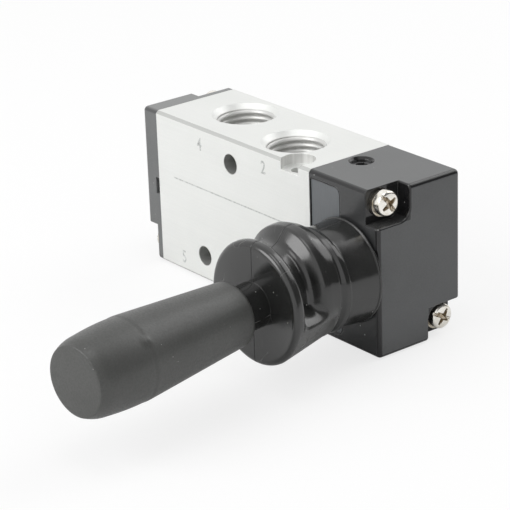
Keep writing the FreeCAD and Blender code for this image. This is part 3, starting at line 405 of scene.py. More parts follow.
def makeAnodised():
    # blasted and anodised extrusion: pale metal, even grain, faint draw lines along X, greyer bevels;
    # painted shade darkens the inside of the tapped ports and cross holes; the screw seat has upright
    # tool marks
    look = metalLook
    s = newMaterial("anodisedAluminium", (0.8, 0.8, 0.79))
    grain = s.use(grainGroup, Size=look["grainSize"], CoarseShare=0.4)
    wearAndGlint = s.use(wearAndGlintGroup, Radius=0.00022, BreakUp=900.0, Amount=0.5)
    base = s.mix(s.remap(s.noise(90.0), 0.3, 0.7, 0.3, 0.7), look["dark"], look["pale"])
    lines = s.remap(s.noise(2600.0, 2.0, stretch=(0.015, 1.0, 1.0)), 0.35, 0.7, 0.0, 0.1)
    base = s.mix(lines, base, look["drawLine"])
    corner, sizes = s.corners(0.995, 0.9)
    axes = s.split(s.place)
    outer = s.remap(s.math("ABSOLUTE", axes[1]), look["bevelFrom"] * mm, look["bevelTo"] * mm)
    alongX = s.remap(sizes[0], 0.1, 0.0)
    base = s.mix(s.times(corner, alongX, outer, 0.8), base, look["bevel"])
    base = s.mix(s.spread(grain["Mask"], 0.0, 0.12), base, look["speck"])
    base = s.mix(wearAndGlint["Mask"], base, look["worn"])
    marks = s.remap(s.noise(900.0, 3.0, 0.6, stretch=(1.0, 1.0, 0.03)), 0.36, 0.64)
    floor = bores["seatFloor"] * mm
    wall = s.times(s.remap(axes[2], floor, floor + bores["seatFade"] * mm), s.remap(sizes[2], 0.6, 0.3))
    streaks = s.mix(marks, look["seatDark"], look["seatPale"])
    base = s.mix(s.times(boreMask(s, "seat"), wall), base, streaks)
    # painted shade: the tapped ports and cross holes are darker inside
    above = s.math("GREATER_THAN", axes[2], bores["middle"] * mm)
    ports = s.times(boreMask(s, "top"), above)
    under = s.times(boreMask(s, "low"), s.math("SUBTRACT", 1.0, above))
    base = s.mix(s.most(ports, under), base, look["port"])
    base = s.mix(boreMask(s, "cross"), base, look["hole"])
    rough = s.spread(grain["Mask"], look["roughness"] - 0.05, look["roughness"] + 0.06)
    return s.finish(base, rough, (grain["Height"], 0.35, look["grainHeight"]), wearAndGlint["Normal"],
                    look["metallic"])


# edge is the painted shade colour on rounded edges, in the screw notches and on the front; glossy turns
# the notch and front shade on
paintLook = {
    "housing": {"colour": (0.069, 0.0712, 0.0725), "roughness": 0.4, "edge": (0.012, 0.012, 0.0125),
                "edgeRoughness": 0.1, "ripple": 0.00003, "film": 0.12, "glossy": 1.0},
    "cap": {"colour": (0.115, 0.118, 0.118), "roughness": 0.42, "edge": (0.07, 0.071, 0.072),
            "edgeRoughness": 0.3, "ripple": 0.00004, "film": 0.45, "glossy": 0.0},
    "worn": (0.12, 0.122, 0.125), "filmColour": (0.3, 0.305, 0.3), "dust": (0.3, 0.3, 0.29),
    "notchStart": 42.7, "notchSide": 2.35, "notchHigh": 27.7, "notchLow": 7.3,
    "frontAt": -10.9, "frontShare": 0.62,
}


def boxedPart(s, axes, bounds):
    # 1 where each coordinate lies past its bound: (axis, bound in mm, direction)
    return s.times(*[s.math("GREATER_THAN" if way > 0 else "LESS_THAN", axes[axis], bound * mm)
                     for axis, bound, way in bounds])


def makePaint(name, look):
    # satin paint on a casting: orange peel ripple and fine grit; painted shade makes it darker, and
    # glossier, on rounded edges, in the two screw notches and on the front; a painted glint pales the
    # edges;
    # faces that point up or down are paler, and dust specks lie on top
    p = paintLook
    s = newMaterial(name, look["colour"])
    grain = s.use(grainGroup, Size=4200.0, CoarseShare=0.2)
    wearAndGlint = s.use(wearAndGlintGroup, Radius=0.0003, BreakUp=1500.0, Amount=0.35)
    dust = s.use(dustGroup, Size=1500.0, Amount=0.025, Radius=0.2)["Mask"]
    clouds = s.remap(s.noise(70.0, 4.0), 0.35, 0.65)
    base = s.mix(clouds, scaled(look["colour"], 0.88), scaled(look["colour"], 1.12))
    base = s.mix(s.spread(grain["Mask"], 0.0, 0.35), base, scaled(look["colour"], 1.5))
    corner, sizes = s.corners(0.998, 0.95)
    axes = s.split(s.place)
    start, side = (0, p["notchStart"], 1), p["notchSide"]
    upper = boxedPart(s, axes, [start, (1, -side, -1), (2, p["notchHigh"], 1)])
    lower = boxedPart(s, axes, [start, (1, side, 1), (2, p["notchLow"], -1)])
    front = s.times(boxedPart(s, axes, [(1, p["frontAt"], -1)]), p["frontShare"])
    # painted shade: the mask of rounded edges, screw notches and front, where the colour turns to the
    # dark edge colour
    thin = s.most(corner, s.times(s.most(upper, lower, front), look["glossy"]))
    base = s.mix(thin, base, look["edge"])
    # painted glint: the paint's edges paler, where the edge mask finds them
    base = s.mix(s.times(wearAndGlint["Mask"], 0.5), base, p["worn"])
    # paler on faces that point up or down
    base = s.mix(s.times(s.remap(sizes[2], 0.7, 1.0), look["film"]), base, p["filmColour"])
    base = s.mix(dust, base, p["dust"])
    rough = s.spread(clouds, look["roughness"] - 0.04, look["roughness"] + 0.04)
    rough = s.times(rough, s.math("SUBTRACT", 1.0, thin))
    rough = s.more(rough, thin, look["edgeRoughness"])
    rough = s.more(rough, dust, 0.3)
    height = s.more(s.noise(650.0, 2.0), grain["Height"], 0.3)
    return s.finish(base, rough, (height, 0.3, look["ripple"]), wearAndGlint["Normal"])


# scuff and reflection: the patch where the folds rub, paler partly from scuffing and partly as a
# painted reflection of the floor below; as axis, where it begins and where it is full, in millimetres
rubberLook = {
    "colour": (0.0115, 0.0118, 0.0112), "mottle": (0.019, 0.0194, 0.0186), "roughness": 0.16,
    "specular": 0.72, "ripple": 0.00006,
    "seamColour": (0.002, 0.002, 0.002), "seamWidth": 0.0032, "seamHeight": -1.3,
    "scratch": (0.2, 0.2, 0.19), "scratchAmount": 0.6, "dust": (0.42, 0.42, 0.4),
    "hazeColour": (0.075, 0.076, 0.073), "hazeAmount": 0.8,
    "haze": [(1, -20.5, -23.0), (1, -36.0, -34.0), (2, 17.0, 11.0)],
}


def makeBootRubber():
    # glossy moulded rubber: fine orange peel, parting line at a quarter and three quarters of the way
    # round (from the UV map), dust and pale scuffs; between fold and disc it is paler, partly scuffed and
    # partly a painted reflection of the floor
    look = rubberLook
    s = newMaterial("bootRubber", look["colour"])
    half = s.math("PINGPONG", s.math("ADD", s.uv()[0], 0.25), 0.5)
    off = s.math("MINIMUM", half, s.math("SUBTRACT", 0.5, half))
    seam = s.remap(off, look["seamWidth"], look["seamWidth"] * 0.3)
    dust = s.use(dustGroup, Size=1000.0, Amount=0.1, Radius=0.13)["Mask"]
    # scratches: thin lines where a stretched noise crosses one half, kept in few patches
    lines = s.noise(260.0, 1.0, 0.4, stretch=(1.0, 0.12, 1.0), turn=(0.4, 0.7, 0.3))
    thin = s.remap(s.math("ABSOLUTE", s.math("SUBTRACT", lines, 0.5)), 0.006, 0.0)
    few = s.remap(s.noise(110.0, 1.0), 0.58, 0.66, smooth=True)
    scratch = s.times(thin, few, look["scratchAmount"])
    mottle = s.remap(s.noise(140.0, 4.0), 0.35, 0.7)
    axes = s.split(s.place)
    patch = [s.remap(axes[axis], none * mm, full * mm, smooth=True) for axis, none, full in look["haze"]]
    # partly painted reflection: a paler patch where the folds press, for scuffing and for the floor's
    # reflection
    scuffAndReflection = s.times(*patch, s.remap(s.noise(230.0, 5.0), 0.25, 0.7, 0.45, 1.0), look["hazeAmount"])
    base = s.mix(mottle, look["colour"], look["mottle"])
    base = s.mix(scuffAndReflection, base, look["hazeColour"])
    base = s.mix(scratch, base, look["scratch"])
    base = s.mix(dust, base, look["dust"])
    base = s.mix(seam, base, look["seamColour"])
    rough = s.spread(mottle, look["roughness"] - 0.03, look["roughness"] + 0.09)
    rough = s.more(rough, scratch, 0.5)
    rough = s.more(rough, seam, 0.6)
    rough = s.more(rough, scuffAndReflection, 0.22)
    rough = s.more(rough, dust, 0.5, clamp=True)
    height = s.more(s.noise(420.0), seam, look["seamHeight"])
    return s.finish(base, rough, (height, 0.35, look["ripple"]), specular=look["specular"])


plasticLook = {
    "colour": (0.06, 0.061, 0.058), "dark": (0.056, 0.057, 0.054), "pale": (0.07, 0.071, 0.068),
    "pit": (0.036, 0.037, 0.035), "dust": (0.25, 0.25, 0.24), "roughness": 0.41, "grainSize": 2600.0,
}


def makeHandlePlastic():
    # spark eroded mould grain: fine pebbly bump, slightly uneven sheen and pale dust in the grain
    look = plasticLook
    s = newMaterial("handlePlastic", look["colour"])
    grain = s.use(grainGroup, Size=look["grainSize"], CoarseShare=0.5)
    dust = s.use(dustGroup, Size=1300.0, Amount=0.05, Radius=0.14)["Mask"]
    base = s.mix(s.remap(s.noise(60.0), 0.35, 0.65), look["dark"], look["pale"])
    base = s.mix(s.spread(grain["Mask"], 0.0, 0.35), base, look["pit"])
    base = s.mix(dust, base, look["dust"])
    rough = s.spread(grain["Mask"], look["roughness"] - 0.06, look["roughness"] + 0.06)
    return s.finish(base, rough, (grain["Height"], 0.4, 0.00003))


def makeMetal(name, colour, roughness, tint=None, lines=0.0, recess=None):
    # bright or turned metal: faint clouds of tint, optional fine turning lines along X, and a stain
    # in a driver recess, whose depth is v in the UV map
    s = newMaterial(name, colour)
    grain = s.use(grainGroup, Size=6000.0, CoarseShare=0.3)
    wearAndGlint = s.use(wearAndGlintGroup, Radius=0.0001, BreakUp=2500.0, Amount=0.3)
    base = s.mix(s.remap(s.noise(700.0), 0.35, 0.65), colour, tint or scaled(colour, 0.86))
    base = s.mix(wearAndGlint["Mask"], base, (0.92, 0.91, 0.88))
    if recess:
        stain = s.remap(s.noise(1800.0), 0.3, 0.7, 0.6, 1.0)
        base = s.mix(s.times(s.remap(s.uv()[1], 0.06, 0.6), stain), base, recess)
    rough = s.spread(grain["Mask"], roughness - 0.05, roughness + 0.07)
    height = s.noise(lines, 2.0, stretch=(1.0, 0.02, 0.02)) if lines else grain["Height"]
    return s.finish(base, rough, (height, 0.3, 0.00001), wearAndGlint["Normal"], 1.0)


def makeInnerRubber():
    # black nitrile: plain, slightly uneven sheen
    s = newMaterial("blackRubber", (0.018, 0.018, 0.018))
    grain = s.use(grainGroup, Size=3500.0, CoarseShare=0.4)
    base = s.mix(grain["Mask"], (0.014, 0.014, 0.014), (0.024, 0.024, 0.024))
    return s.finish(base, s.spread(grain["Mask"], 0.45, 0.6), (grain["Height"], 0.3, 0.00002))


def makeInk():
    # pad print: grey ink with small pinholes that let the metal show through
    s = newMaterial("printInk", (0.45, 0.46, 0.45))
    holes = s.remap(s.noise(2200.0), 0.42, 0.6)
    return s.finish(s.mix(holes, (0.40, 0.41, 0.40), (0.62, 0.63, 0.62)), 0.6)


def makeLabelSatin():
    # brushed dark sheet: fine upright lines, a slightly bluish satin sheen
    s = newMaterial("labelSatin", (0.105, 0.113, 0.12))
    lines = s.remap(s.noise(5200.0, 2.0, stretch=(1.0, 1.0, 0.04)), 0.35, 0.65)
    base = s.mix(lines, (0.098, 0.106, 0.114), (0.122, 0.131, 0.139))
    base = s.mix(s.remap(s.noise(150.0, 2.0), 0.35, 0.65, 0.0, 0.4), base, (0.14, 0.148, 0.155))
    return s.finish(base, s.spread(lines, 0.3, 0.4), (lines, 0.2, 0.000008))


def makeLabelShadeRim():
    # painted shade: near-black gloss on the bead round the label, standing in for the shaded edge of
    # its recess; a little uneven
    s = newMaterial("labelShadeRim", (0.008, 0.008, 0.0085))
    waves = s.remap(s.noise(500.0, 2.0), 0.3, 0.7)
    base = s.mix(waves, (0.007, 0.007, 0.0075), (0.011, 0.011, 0.0115))
    return s.finish(base, s.spread(waves, 0.12, 0.2), (waves, 0.2, 0.00001))


anodised = makeAnodised()
bootRubber = makeBootRubber()
handlePlastic = makeHandlePlastic()
platedScrew = makeMetal("platedScrew", (0.9, 0.88, 0.83), 0.2, (0.8, 0.76, 0.68),
                        recess=(0.3, 0.23, 0.14))
plated = makeMetal("platedWasher", (0.66, 0.62, 0.55), 0.28, (0.5, 0.45, 0.36))
brass = makeMetal("turnedBrass", (0.74, 0.56, 0.26), 0.25, (0.6, 0.42, 0.18))
nodeFinishes = [
    (anodised, "valve_body"),
    (makePaint("capPaint", paintLook["cap"]), "end_cap"),
    (makePaint("housingPaint", paintLook["housing"]), "lever_housing"),
    (makeInnerRubber(), "end_cap_gasket housing_gasket spool_bumper spool_seals"),
    (bootRubber, "rubber_boot"),
    (handlePlastic, "handle_grip"),
    (platedScrew, "end_cap_screws housing_screws"),
    (plated, "end_cap_washers housing_washers"),
    (brass, "guide_bush handle_insert"),
    (makeMetal("spoolAluminium", (0.72, 0.72, 0.73), 0.3, lines=9000.0), "spool"),
    (makeMetal("turnedSteel", (0.55, 0.55, 0.56), 0.28, lines=7000.0), "drive_link lever_rod"),
    (makeMetal("polishedSteel", (0.7, 0.7, 0.72), 0.12), "detent_ball lever_pivot_pin"),
    (makeMetal("springSteel", (0.45, 0.45, 0.46), 0.3), "detent_spring"),
    (makeMetal("blackSteel", (0.22, 0.22, 0.225), 0.34, (0.14, 0.14, 0.143)), "detent_set_screw"),
]
for material, names in nodeFinishes:
    for name in names.split():
        slots = frame["nodes"][name].data.materials
        slots.clear()
        slots.append(material)
print("materials made")


# lengths in millimetres, as in the part's own sheet; along the boot from the housing's front,
# beyond the folds from the pivot
boot = {
    "foot": 0.3, "beadRadius": 11.0, "beadWidth": 0.7, "beadRound": 0.3,
    "collarRadius": 10.25, "collarFoot": 10.8, "innerRadius": 8.56,
    "flangeAt": 8.0, "flangeRadius": 10.95, "flangeWidth": 1.3, "flangeRound": 0.45,
    "grooveRadius": 10.55, "grooveWidth": 1.7,
    "foldBack": 11.75, "foldRadius": 12.0, "foldFront": 11.8, "foldWidth": 5.0, "foldRound": 1.1,
    "valleyRadius": 9.2, "valleyRound": 2.2, "wall": 1.6,
    "discAt": 23.9, "discRadius": 12.6, "discWidth": 2.9, "discRound": 1.25,
    "neckRadius": 4.7, "neckInner": 3.15, "neckEnd": 29.1, "neckRound": 0.05,
    "footShift": (0.7, -0.7), "foldShift": (-0.1, 0.4), "discTurn": 0.25,
    "pressedAngle": -75.0, "pressedFull": 57.0, "pressedNone": 71.0, "pressedFrom": 0.5,
    "step": 0.4, "segments": 240,
}


def makeBoot():
    # the wall's outline, outside from foot to neck and back inside, is turned round an axis that
    # leaves the housing square and leans with the lever between the two folds; where the folds are
    # pressed together, within an angle round the axis, straight lines from fold to disc take over
    b = boot
    fromFace = -frontY / mm + pivot[1] / mm

    def at(along):
        # a length from the housing's front, as a length from the pivot
        return along + fromFace

    foot = at(b["foot"])
    beadEnd = at(b["foot"] + b["beadWidth"])
    flangeEnd = b["flangeAt"] + b["flangeWidth"]
    foldStart = flangeEnd + b["grooveWidth"]
    foldEnd = foldStart + b["foldWidth"]
    discBack = b["discAt"] - b["discWidth"]
    discInside = b["discAt"] - b["wall"]
    foldInside = at(foldEnd - b["wall"])
    valleyInside = b["valleyRadius"] - b["wall"]
    # corners as along, radius and rounding
    outer = [
        (foot, b["innerRadius"] + 0.5),
        (foot, b["beadRadius"], b["beadRound"]),
        (beadEnd, b["beadRadius"], b["beadRound"]),
        (beadEnd, b["collarFoot"], 0.1),
        (at(b["flangeAt"]), b["collarRadius"], 0.35),
        (at(b["flangeAt"]), b["flangeRadius"], b["flangeRound"]),
        (at(flangeEnd), b["flangeRadius"], b["flangeRound"]),
        (at(flangeEnd) + 0.7, b["grooveRadius"], 0.5),
        (at(foldStart), b["grooveRadius"], 0.25),
        (at(foldStart) + 0.15, b["foldBack"], 0.3),
        (at(foldStart) + 2.3, b["foldRadius"], 5.0),
        (at(foldEnd - 0.9), b["foldFront"], b["foldRound"]),
        (at(foldEnd) + 1.2, b["valleyRadius"], b["valleyRound"]),
        (discBack - 0.6, b["valleyRadius"], b["valleyRound"] * 0.5),
        (discBack, b["discRadius"], b["discRound"]),
        (b["discAt"], b["discRadius"], b["discRound"]),
        (b["discAt"], b["neckRadius"], b["neckRound"]),
        (b["neckEnd"], b["neckRadius"], 0.3),
        (b["neckEnd"], b["neckInner"], 0.2),
        (discInside, b["neckInner"], 0.3),
        (discInside, valleyInside, 1.0),
        (foldInside, valleyInside, 0.6),
        (foldInside, b["innerRadius"], 0.4),
        (foot, b["innerRadius"], 0.3),
        (foot, b["innerRadius"] + 0.5),
    ]
    profile = evenRuns(cornersToProfile(outer), b["step"])
    along, radius = profile[:, 0], profile[:, 1]
    lean = leverTilt * smoothStep((along - at(foldEnd)) / (discBack - at(foldEnd)))
    # rings past the disc's rim turn the rest of the way with the lever
    rimStart = b["discAt"] - b["discRound"]
    nearNeck = np.clip((b["discRadius"] - radius) / (b["discRadius"] - b["neckRadius"]), 0, 1)
    turn = lean * (b["discTurn"] + (1 - b["discTurn"]) * nearNeck * (along > rimStart))
    # the outer skin sits a little off the boss at the foot and at the first fold
    outside = np.arange(len(along)) < np.argmax(along > b["neckEnd"] - 1e-6)
    stations = [at(0), at(b["flangeAt"]), at(foldStart + 2), at(foldEnd), discBack - 1]
    shiftX, shiftZ = [np.interp(along, stations, [foot, foot, fold, fold, 0.0])
                      for foot, fold in zip(b["footShift"], b["foldShift"])]
    shift = np.stack([shiftX, np.zeros_like(shiftX), shiftZ], axis=-1) * outside[:, None] * mm
    grid = turnedGrid(radius * mm, alongLever(along * mm, lean) + shift, turn, b["segments"])
    # the pressed side: straight lines from the fold's back ring to the disc's rim ring, with the rows
    # between spread by their length along the profile
    pressedStart = at(foldStart) + b["pressedFrom"]
    first = np.argmax(outside & (along > pressedStart))
    last = np.argmax(outside & (along > rimStart - 0.01))
    steps = np.linalg.norm(np.diff(profile[first:last + 1], axis=0), axis=1)
    length = np.concatenate([[0], np.cumsum(steps)])
    part = (length / length[-1])[:, None, None]
    apart = np.degrees(np.abs(angleFrom(b["pressedAngle"], b["segments"])))
    toward = smoothStep((b["pressedNone"] - apart) / (b["pressedNone"] - b["pressedFull"]))
    ruled = grid[first] + part * (grid[last] - grid[first])
    grid[first:last + 1] += toward[None, :, None] * (ruled - grid[first:last + 1])
    piece = gridObject("rubberBoot", grid, wrapRows=True, keepUv=True)
    piece.data.materials.append(bootRubber)
    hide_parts("rubber_boot")
    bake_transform(piece)


handle = {
    "start": 29.5, "length": 40.0, "baseRadius": 6.6, "baseRound": 1.2,
    "wideRadius": 8.65, "wideAt": 10.0, "wideRound": 55.0,
    "shoulderRadius": 7.85, "shoulderAt": 1.9, "shoulderRound": 8.0,
    "tipRadius": 7.0, "tipRound": 0.3, "tipCrown": 0.15,
    "lipRadius": 4.62, "socketRadius": 3.92, "shoulder": 1.8, "socketDepth": 14.3,
    "seamAt": 57.0, "seamDepth": 0.06, "seamWidth": 0.14, "seamStep": 0.1, "stepWidth": 0.2,
    "nubAt": 57.4, "nubAngle": 43.0, "nubHeight": 0.75, "nubRadius": 0.65,
    "dentShare": 0.8, "dentRadius": 0.35, "step": 0.4, "segments": 144,
}


def makeHandle():
    # a profile turned round the leaning lever axis; a fine step marks the mould's parting line, and a
    # small worn gate mark stands out as a round bump with a dent in its middle
    h = handle
    start = h["start"]
    end = start + h["length"]
    outer = [
        (start + 0.8, h["lipRadius"]),
        (start, h["lipRadius"], 0.25),
        (start, h["baseRadius"], h["baseRound"]),
        (end - h["wideAt"], h["wideRadius"], h["wideRound"]),
        (end - h["shoulderAt"], h["shoulderRadius"], h["shoulderRound"]),
        (end, h["tipRadius"], h["tipRound"]),
        (end, 1.0),
        (end, 0.0),
    ]
    profile = evenRuns(cornersToProfile(outer, 14), h["step"])
    along, radius = profile[:, 0], profile[:, 1]
    along = along + h["tipCrown"] * np.where(along > end - 1e-6, 1 - (radius / h["tipRadius"]) ** 2, 0)
    past = along - h["seamAt"]
    radius = radius - h["seamDepth"] * np.exp(-(past / h["seamWidth"]) ** 2)
    radius = radius - h["seamStep"] * np.clip(past / h["stepWidth"], 0, 1) * (radius > 2)
    socketEnd = start + h["socketDepth"]
    shoulder = start + h["shoulder"]
    inside = np.array([(socketEnd, 0.0), (socketEnd, h["socketRadius"]),
                       (shoulder, h["socketRadius"]), (shoulder, h["lipRadius"])])
    along, radius = np.concatenate([inside, np.stack([along, radius], axis=-1)]).T
    tilt = np.full(len(along), leverTilt)
    # the nub: a round bump added to the radius, by distance over the surface from its middle
    turn = angleFrom(h["nubAngle"], h["segments"])
    apart = np.sqrt((along[:, None] - h["nubAt"]) ** 2 + (radius[:, None] * turn[None, :]) ** 2)
    outside = (np.arange(len(along)) > len(inside))[:, None]
    dent = h["dentShare"] * np.exp(-(apart / h["dentRadius"]) ** 2)
    lift = h["nubHeight"] * (np.exp(-(apart / h["nubRadius"]) ** 2) - dent) * outside * mm
    axis = alongLever(along * mm, tilt)
    grid = turnedGrid(radius * mm, axis, tilt, h["segments"])
    outward = grid - axis[:, None, :]
    length = np.linalg.norm(outward, axis=-1, keepdims=True)
    grid = grid + outward / np.maximum(length, 1e-9) * lift[:, :, None] * (length > 1e-6)
    piece = gridObject("handleGrip", grid, keepUv=True)
    sharpen(piece, 50)
    piece.data.materials.append(handlePlastic)
    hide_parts("handle_grip")
    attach(piece, "lever")


makeBoot()
makeHandle()
print("boot and handle made")


port = {"pitch": 1.337, "root": 6.17, "crest": 5.72, "from": 1.15, "to": 8.2, "startAngle": -0.9}
smallPort = {"pitch": 0.907, "root": 4.59, "crest": 4.28, "from": 0.75, "to": 7.2, "startAngle": -0.9}


def threadRidge(centre, faceZ, inward, sizes):
    # a ridge of rounded triangular section carried along a helix inside the port's wall; it runs out
    # at both ends by sinking into the wall
    span = sizes["to"] - sizes["from"]
    turns = span / sizes["pitch"]
    share = np.linspace(0, 1, int(turns * 72) + 1)
    angle = sizes["startAngle"] + 2 * math.pi * turns * share
    depth = sizes["from"] + span * share
    across = np.array([-0.49, -0.3, -0.12, 0.0, 0.12, 0.3, 0.49, 0.49, -0.49])
    rise = np.array([0.0, 0.55, 0.92, 1.0, 0.92, 0.55, 0.0, -0.35, -0.35])
    fade = np.clip(np.minimum(share, 1 - share) * turns * 3, 0, 1)[:, None]
    lift = rise[None, :] * fade - 0.12 * (1 - fade)
    radius = sizes["root"] + 0.03 - (sizes["root"] - sizes["crest"]) * lift
    z = depth[:, None] + across[None, :] * sizes["pitch"]
    grid = np.stack([centre[0] + radius * np.cos(angle)[:, None],
                     centre[1] + radius * np.sin(angle)[:, None], faceZ + inward * z], axis=-1) * mm
    return gridObject("thread", grid)


def makeThreads():
    # two ports from the top face down, and a large and two small ones from the lower face up
    top = float(bodyHigh.z) / mm
    pieces = [threadRidge(centre, top, -1, port) for centre, radius in bores["top"]]
    pieces += [threadRidge(centre, 0.0, 1, port if radius > port["root"] else smallPort)
               for centre, radius in bores["low"]]
    piece = joinPieces("portThreads", pieces)
    piece.data.materials.append(anodised)
    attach(piece, "valve")


makeThreads()
print("port threads made")


screw = {
    "headRadius": 2.62, "headHeight": 2.2, "raise": 0.35, "edge": 0.6, "crown": 0.35, "underside": 0.15,
    "crossWidth": 0.46, "crossTaper": 0.55, "crossReach": 1.8, "crossDepth": 1.3, "bowl": 0.45,
    "slotWidth": 0.28, "slotDepth": 0.6, "slotTurn": 0.2, "rimCut": 0.8,
    "shankRadius": 1.47, "shankEnd": 0.3, "inset": 3.9, "drop": 3.4, "washer": 0.7, "inBody": 2.2,
    "housingLength": 20.6, "notchDepth": 3.6, "capSeat": 1.5,
}


def screwSurface(x, y, z, outward, shankLength, turn):
    # a crowned head over a polar grid: height = crown falling with the square of the radius, rounded at
    # the rim; the recess is a tapering cross and a straight slot cut by smooth steps
    s = screw
    rimAt = s["headRadius"] - s["edge"]
    radial = np.concatenate([np.linspace(0, 2.0, 40), np.linspace(2.03, rimAt, 10)])
    angle = np.linspace(0, 2 * math.pi, 120, endpoint=False)
    r, t = np.meshgrid(radial, angle, indexing="ij")
    u, v = r * np.cos(t), r * np.sin(t)

    def within(distance, soft):
        # 1 where the distance is negative, 0 where it is positive
        return smoothStep(0.5 - distance / soft)

    taper = 1 - s["crossTaper"] + s["crossTaper"] * np.clip(s["crossReach"] - r, 0, 1)
    legs = [within(np.abs(side) - s["crossWidth"] * taper, 0.14) for side in (u, v)]
    cross = np.maximum(*legs) * within(r - s["crossReach"], 0.2)
    bowl = 1 - s["bowl"] * np.clip(r / s["crossReach"], 0, 1)
    acrossSlot = u * math.cos(s["slotTurn"]) + v * math.sin(s["slotTurn"])
    slot = within(np.abs(acrossSlot) - s["slotWidth"], 0.12)
    cut = np.maximum(cross * bowl * s["crossDepth"], slot * s["slotDepth"])
    height = s["headHeight"] - s["crown"] * (r / s["headRadius"]) ** 2 - cut
    # rim, side, underside and shank continue the same grid outwards and down
    arc = np.linspace(0, math.pi / 2, 7)[1:]
    rimTop = s["headHeight"] - s["crown"] * (rimAt / s["headRadius"]) ** 2
    shank, bevel = s["shankRadius"], s["shankEnd"]
    ringR = np.concatenate([rimAt + s["edge"] * np.sin(arc), [
        s["headRadius"], s["headRadius"] - s["underside"], shank, shank, shank - bevel, 0.0]])
    ringH = np.concatenate([rimTop - s["edge"] * (1 - np.cos(arc)), [
        s["underside"], 0.0, 0.0, bevel - shankLength, -shankLength, -shankLength]])
    ringR, ringT = np.meshgrid(ringR, angle, indexing="ij")
    slotRim = np.clip(1 - np.abs(ringR * np.cos(ringT - s["slotTurn"])) / s["slotWidth"], 0, 1)
    onRim = (np.arange(len(ringR)) < 4)[:, None]
    notch = onRim * (slotRim > 0.05) * np.clip(slotRim * 4, 0, 1) * s["slotDepth"] * s["rimCut"]
    radii = np.concatenate([r, ringR])
    angles = np.concatenate([t, ringT]) + turn
    heights = np.concatenate([height, ringH[:, None] - notch])
    points = [x + outward * heights, y + radii * np.cos(angles), z + radii * np.sin(angles)]
    depth = np.concatenate([cut, 0 * ringR]) / s["crossDepth"]
    return gridObject("screw", np.stack(points, axis=-1) * mm, keepUv=True, across=np.clip(depth, 0, 1))


def makeScrews(name, node, seatX, outward, highSide, shank, turns):
    # two screws, half a turn apart round the spool axis
    tall = float(bodyHigh.z) / mm
    y = highSide * (float(bodyHigh.y) / mm - screw["inset"])
    z = tall - screw["drop"]
    x = seatX + outward * screw["washer"]
    shank = shank + screw["washer"] + screw["inBody"]
    pieces = [screwSurface(x, y, z + screw["raise"], outward, shank, turns[0]),
              screwSurface(x, -y, tall - z + screw["raise"], outward, shank, turns[1])]
    piece = joinPieces(name, pieces)
    sharpen(piece, 38)
    piece.data.materials.append(platedScrew)
    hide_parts(node)
    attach(piece, "valve")


housingSeat = float(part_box("lever_housing")[1].x) / mm - screw["notchDepth"]
capSeat = -float(bodyHigh.x) / mm - screw["capSeat"]
makeScrews("housingScrews", "housing_screws", housingSeat, 1, -1,
           screw["housingLength"] - screw["notchDepth"], (0.5, 0.9))
makeScrews("capScrews", "end_cap_screws", capSeat, -1, 1, screw["capSeat"], (0.2, 1.1))
print("screws made")


label = {
    "left": 25.95, "right": 35.0, "low": 1.65, "high": 33.35, "leftRound": 0.5, "rightRound": 1.6,
    "floor": 10.7, "sunk": 0.02, "thick": 0.07, "bevel": 0.03, "rimWidth": 0.42, "rimHeight": 0.3,
}


def labelOutline():
    # a rectangle with rounded corners, in the front's plane: on each corner's arc the point is the
    # arc's centre plus the radius times the arc's direction, which is given back as well
    q = label
    places, ways = [], []
    for start, x, z, rounding in ((-90, q["right"], q["low"], q["rightRound"]),
                                  (0, q["right"], q["high"], q["rightRound"]),
                                  (90, q["left"], q["high"], q["leftRound"]),
                                  (180, q["left"], q["low"], q["leftRound"])):
        turn = np.radians(start + np.linspace(0, 90, 12))
        way = np.stack([np.cos(turn), np.sin(turn)], axis=-1)
        centre = np.array([x, z]) - rounding * np.sign(way[5])
        places.append(centre + way * rounding)
        ways.append(way)
    return np.concatenate(places), np.concatenate(ways)


def makeLabelPlace():
    # the bare place of the label: a thin satin sheet in the recess, and a low glossy bead round it in
    # near-black painted shade for the recess's shaded edge, whose section is half an ellipse standing on
    # the recess's floor
    q = label
    outline, ways = labelOutline()
    middle = np.tile(outline.mean(axis=0), (len(outline), 1))
    rings = [(middle, -q["sunk"]), (outline, -q["sunk"]), (outline, q["thick"] - q["sunk"]),
             (outline - ways * q["bevel"], q["thick"]), (outline - ways * q["leftRound"], q["thick"]),
             (middle, q["thick"])]
    rows = [np.insert(flat, 1, -q["floor"] - high, axis=1) for flat, high in rings]
    sheet = gridObject("labelSheet", np.stack(rows) * mm)
    sharpen(sheet, 30)
    sheet.data.materials.append(makeLabelSatin())
    section = np.radians(np.linspace(-20, 200, 12))
    half = np.cos(section) * q["rimWidth"] / 2
    rise = np.sin(section) * q["rimHeight"]
    rows = [np.insert(outline + ways * across, 1, -q["floor"] - high, axis=1)
            for across, high in zip(half, rise)]
    # painted shade: the black bead stands where the recess's edge is shaded
    bead = gridObject("labelShadeRim", np.stack(rows) * mm, wrapRows=True)
    bead.data.materials.append(makeLabelShadeRim())
    for piece in (sheet, bead):
        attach(piece, "valve")


makeLabelPlace()
print("label place made")


printLines = {
    "ruleZ": 21.15, "ruleFrom": -20.1, "ruleTo": 21.0, "ruleWidth": 0.3, "proud": 0.012, "sunk": 0.02,
    "numberSize": 4.002, "numberThick": 0.016, "numberBold": 0.05, "numberWidth": 0.8,
    "numbers": {"4": (-10.6, 29.85), "2": (11.0, 30.2), "5": (-17.8, 1.95), "1": (0.0, 1.95),
                "3": (18.3, 1.95)},
}


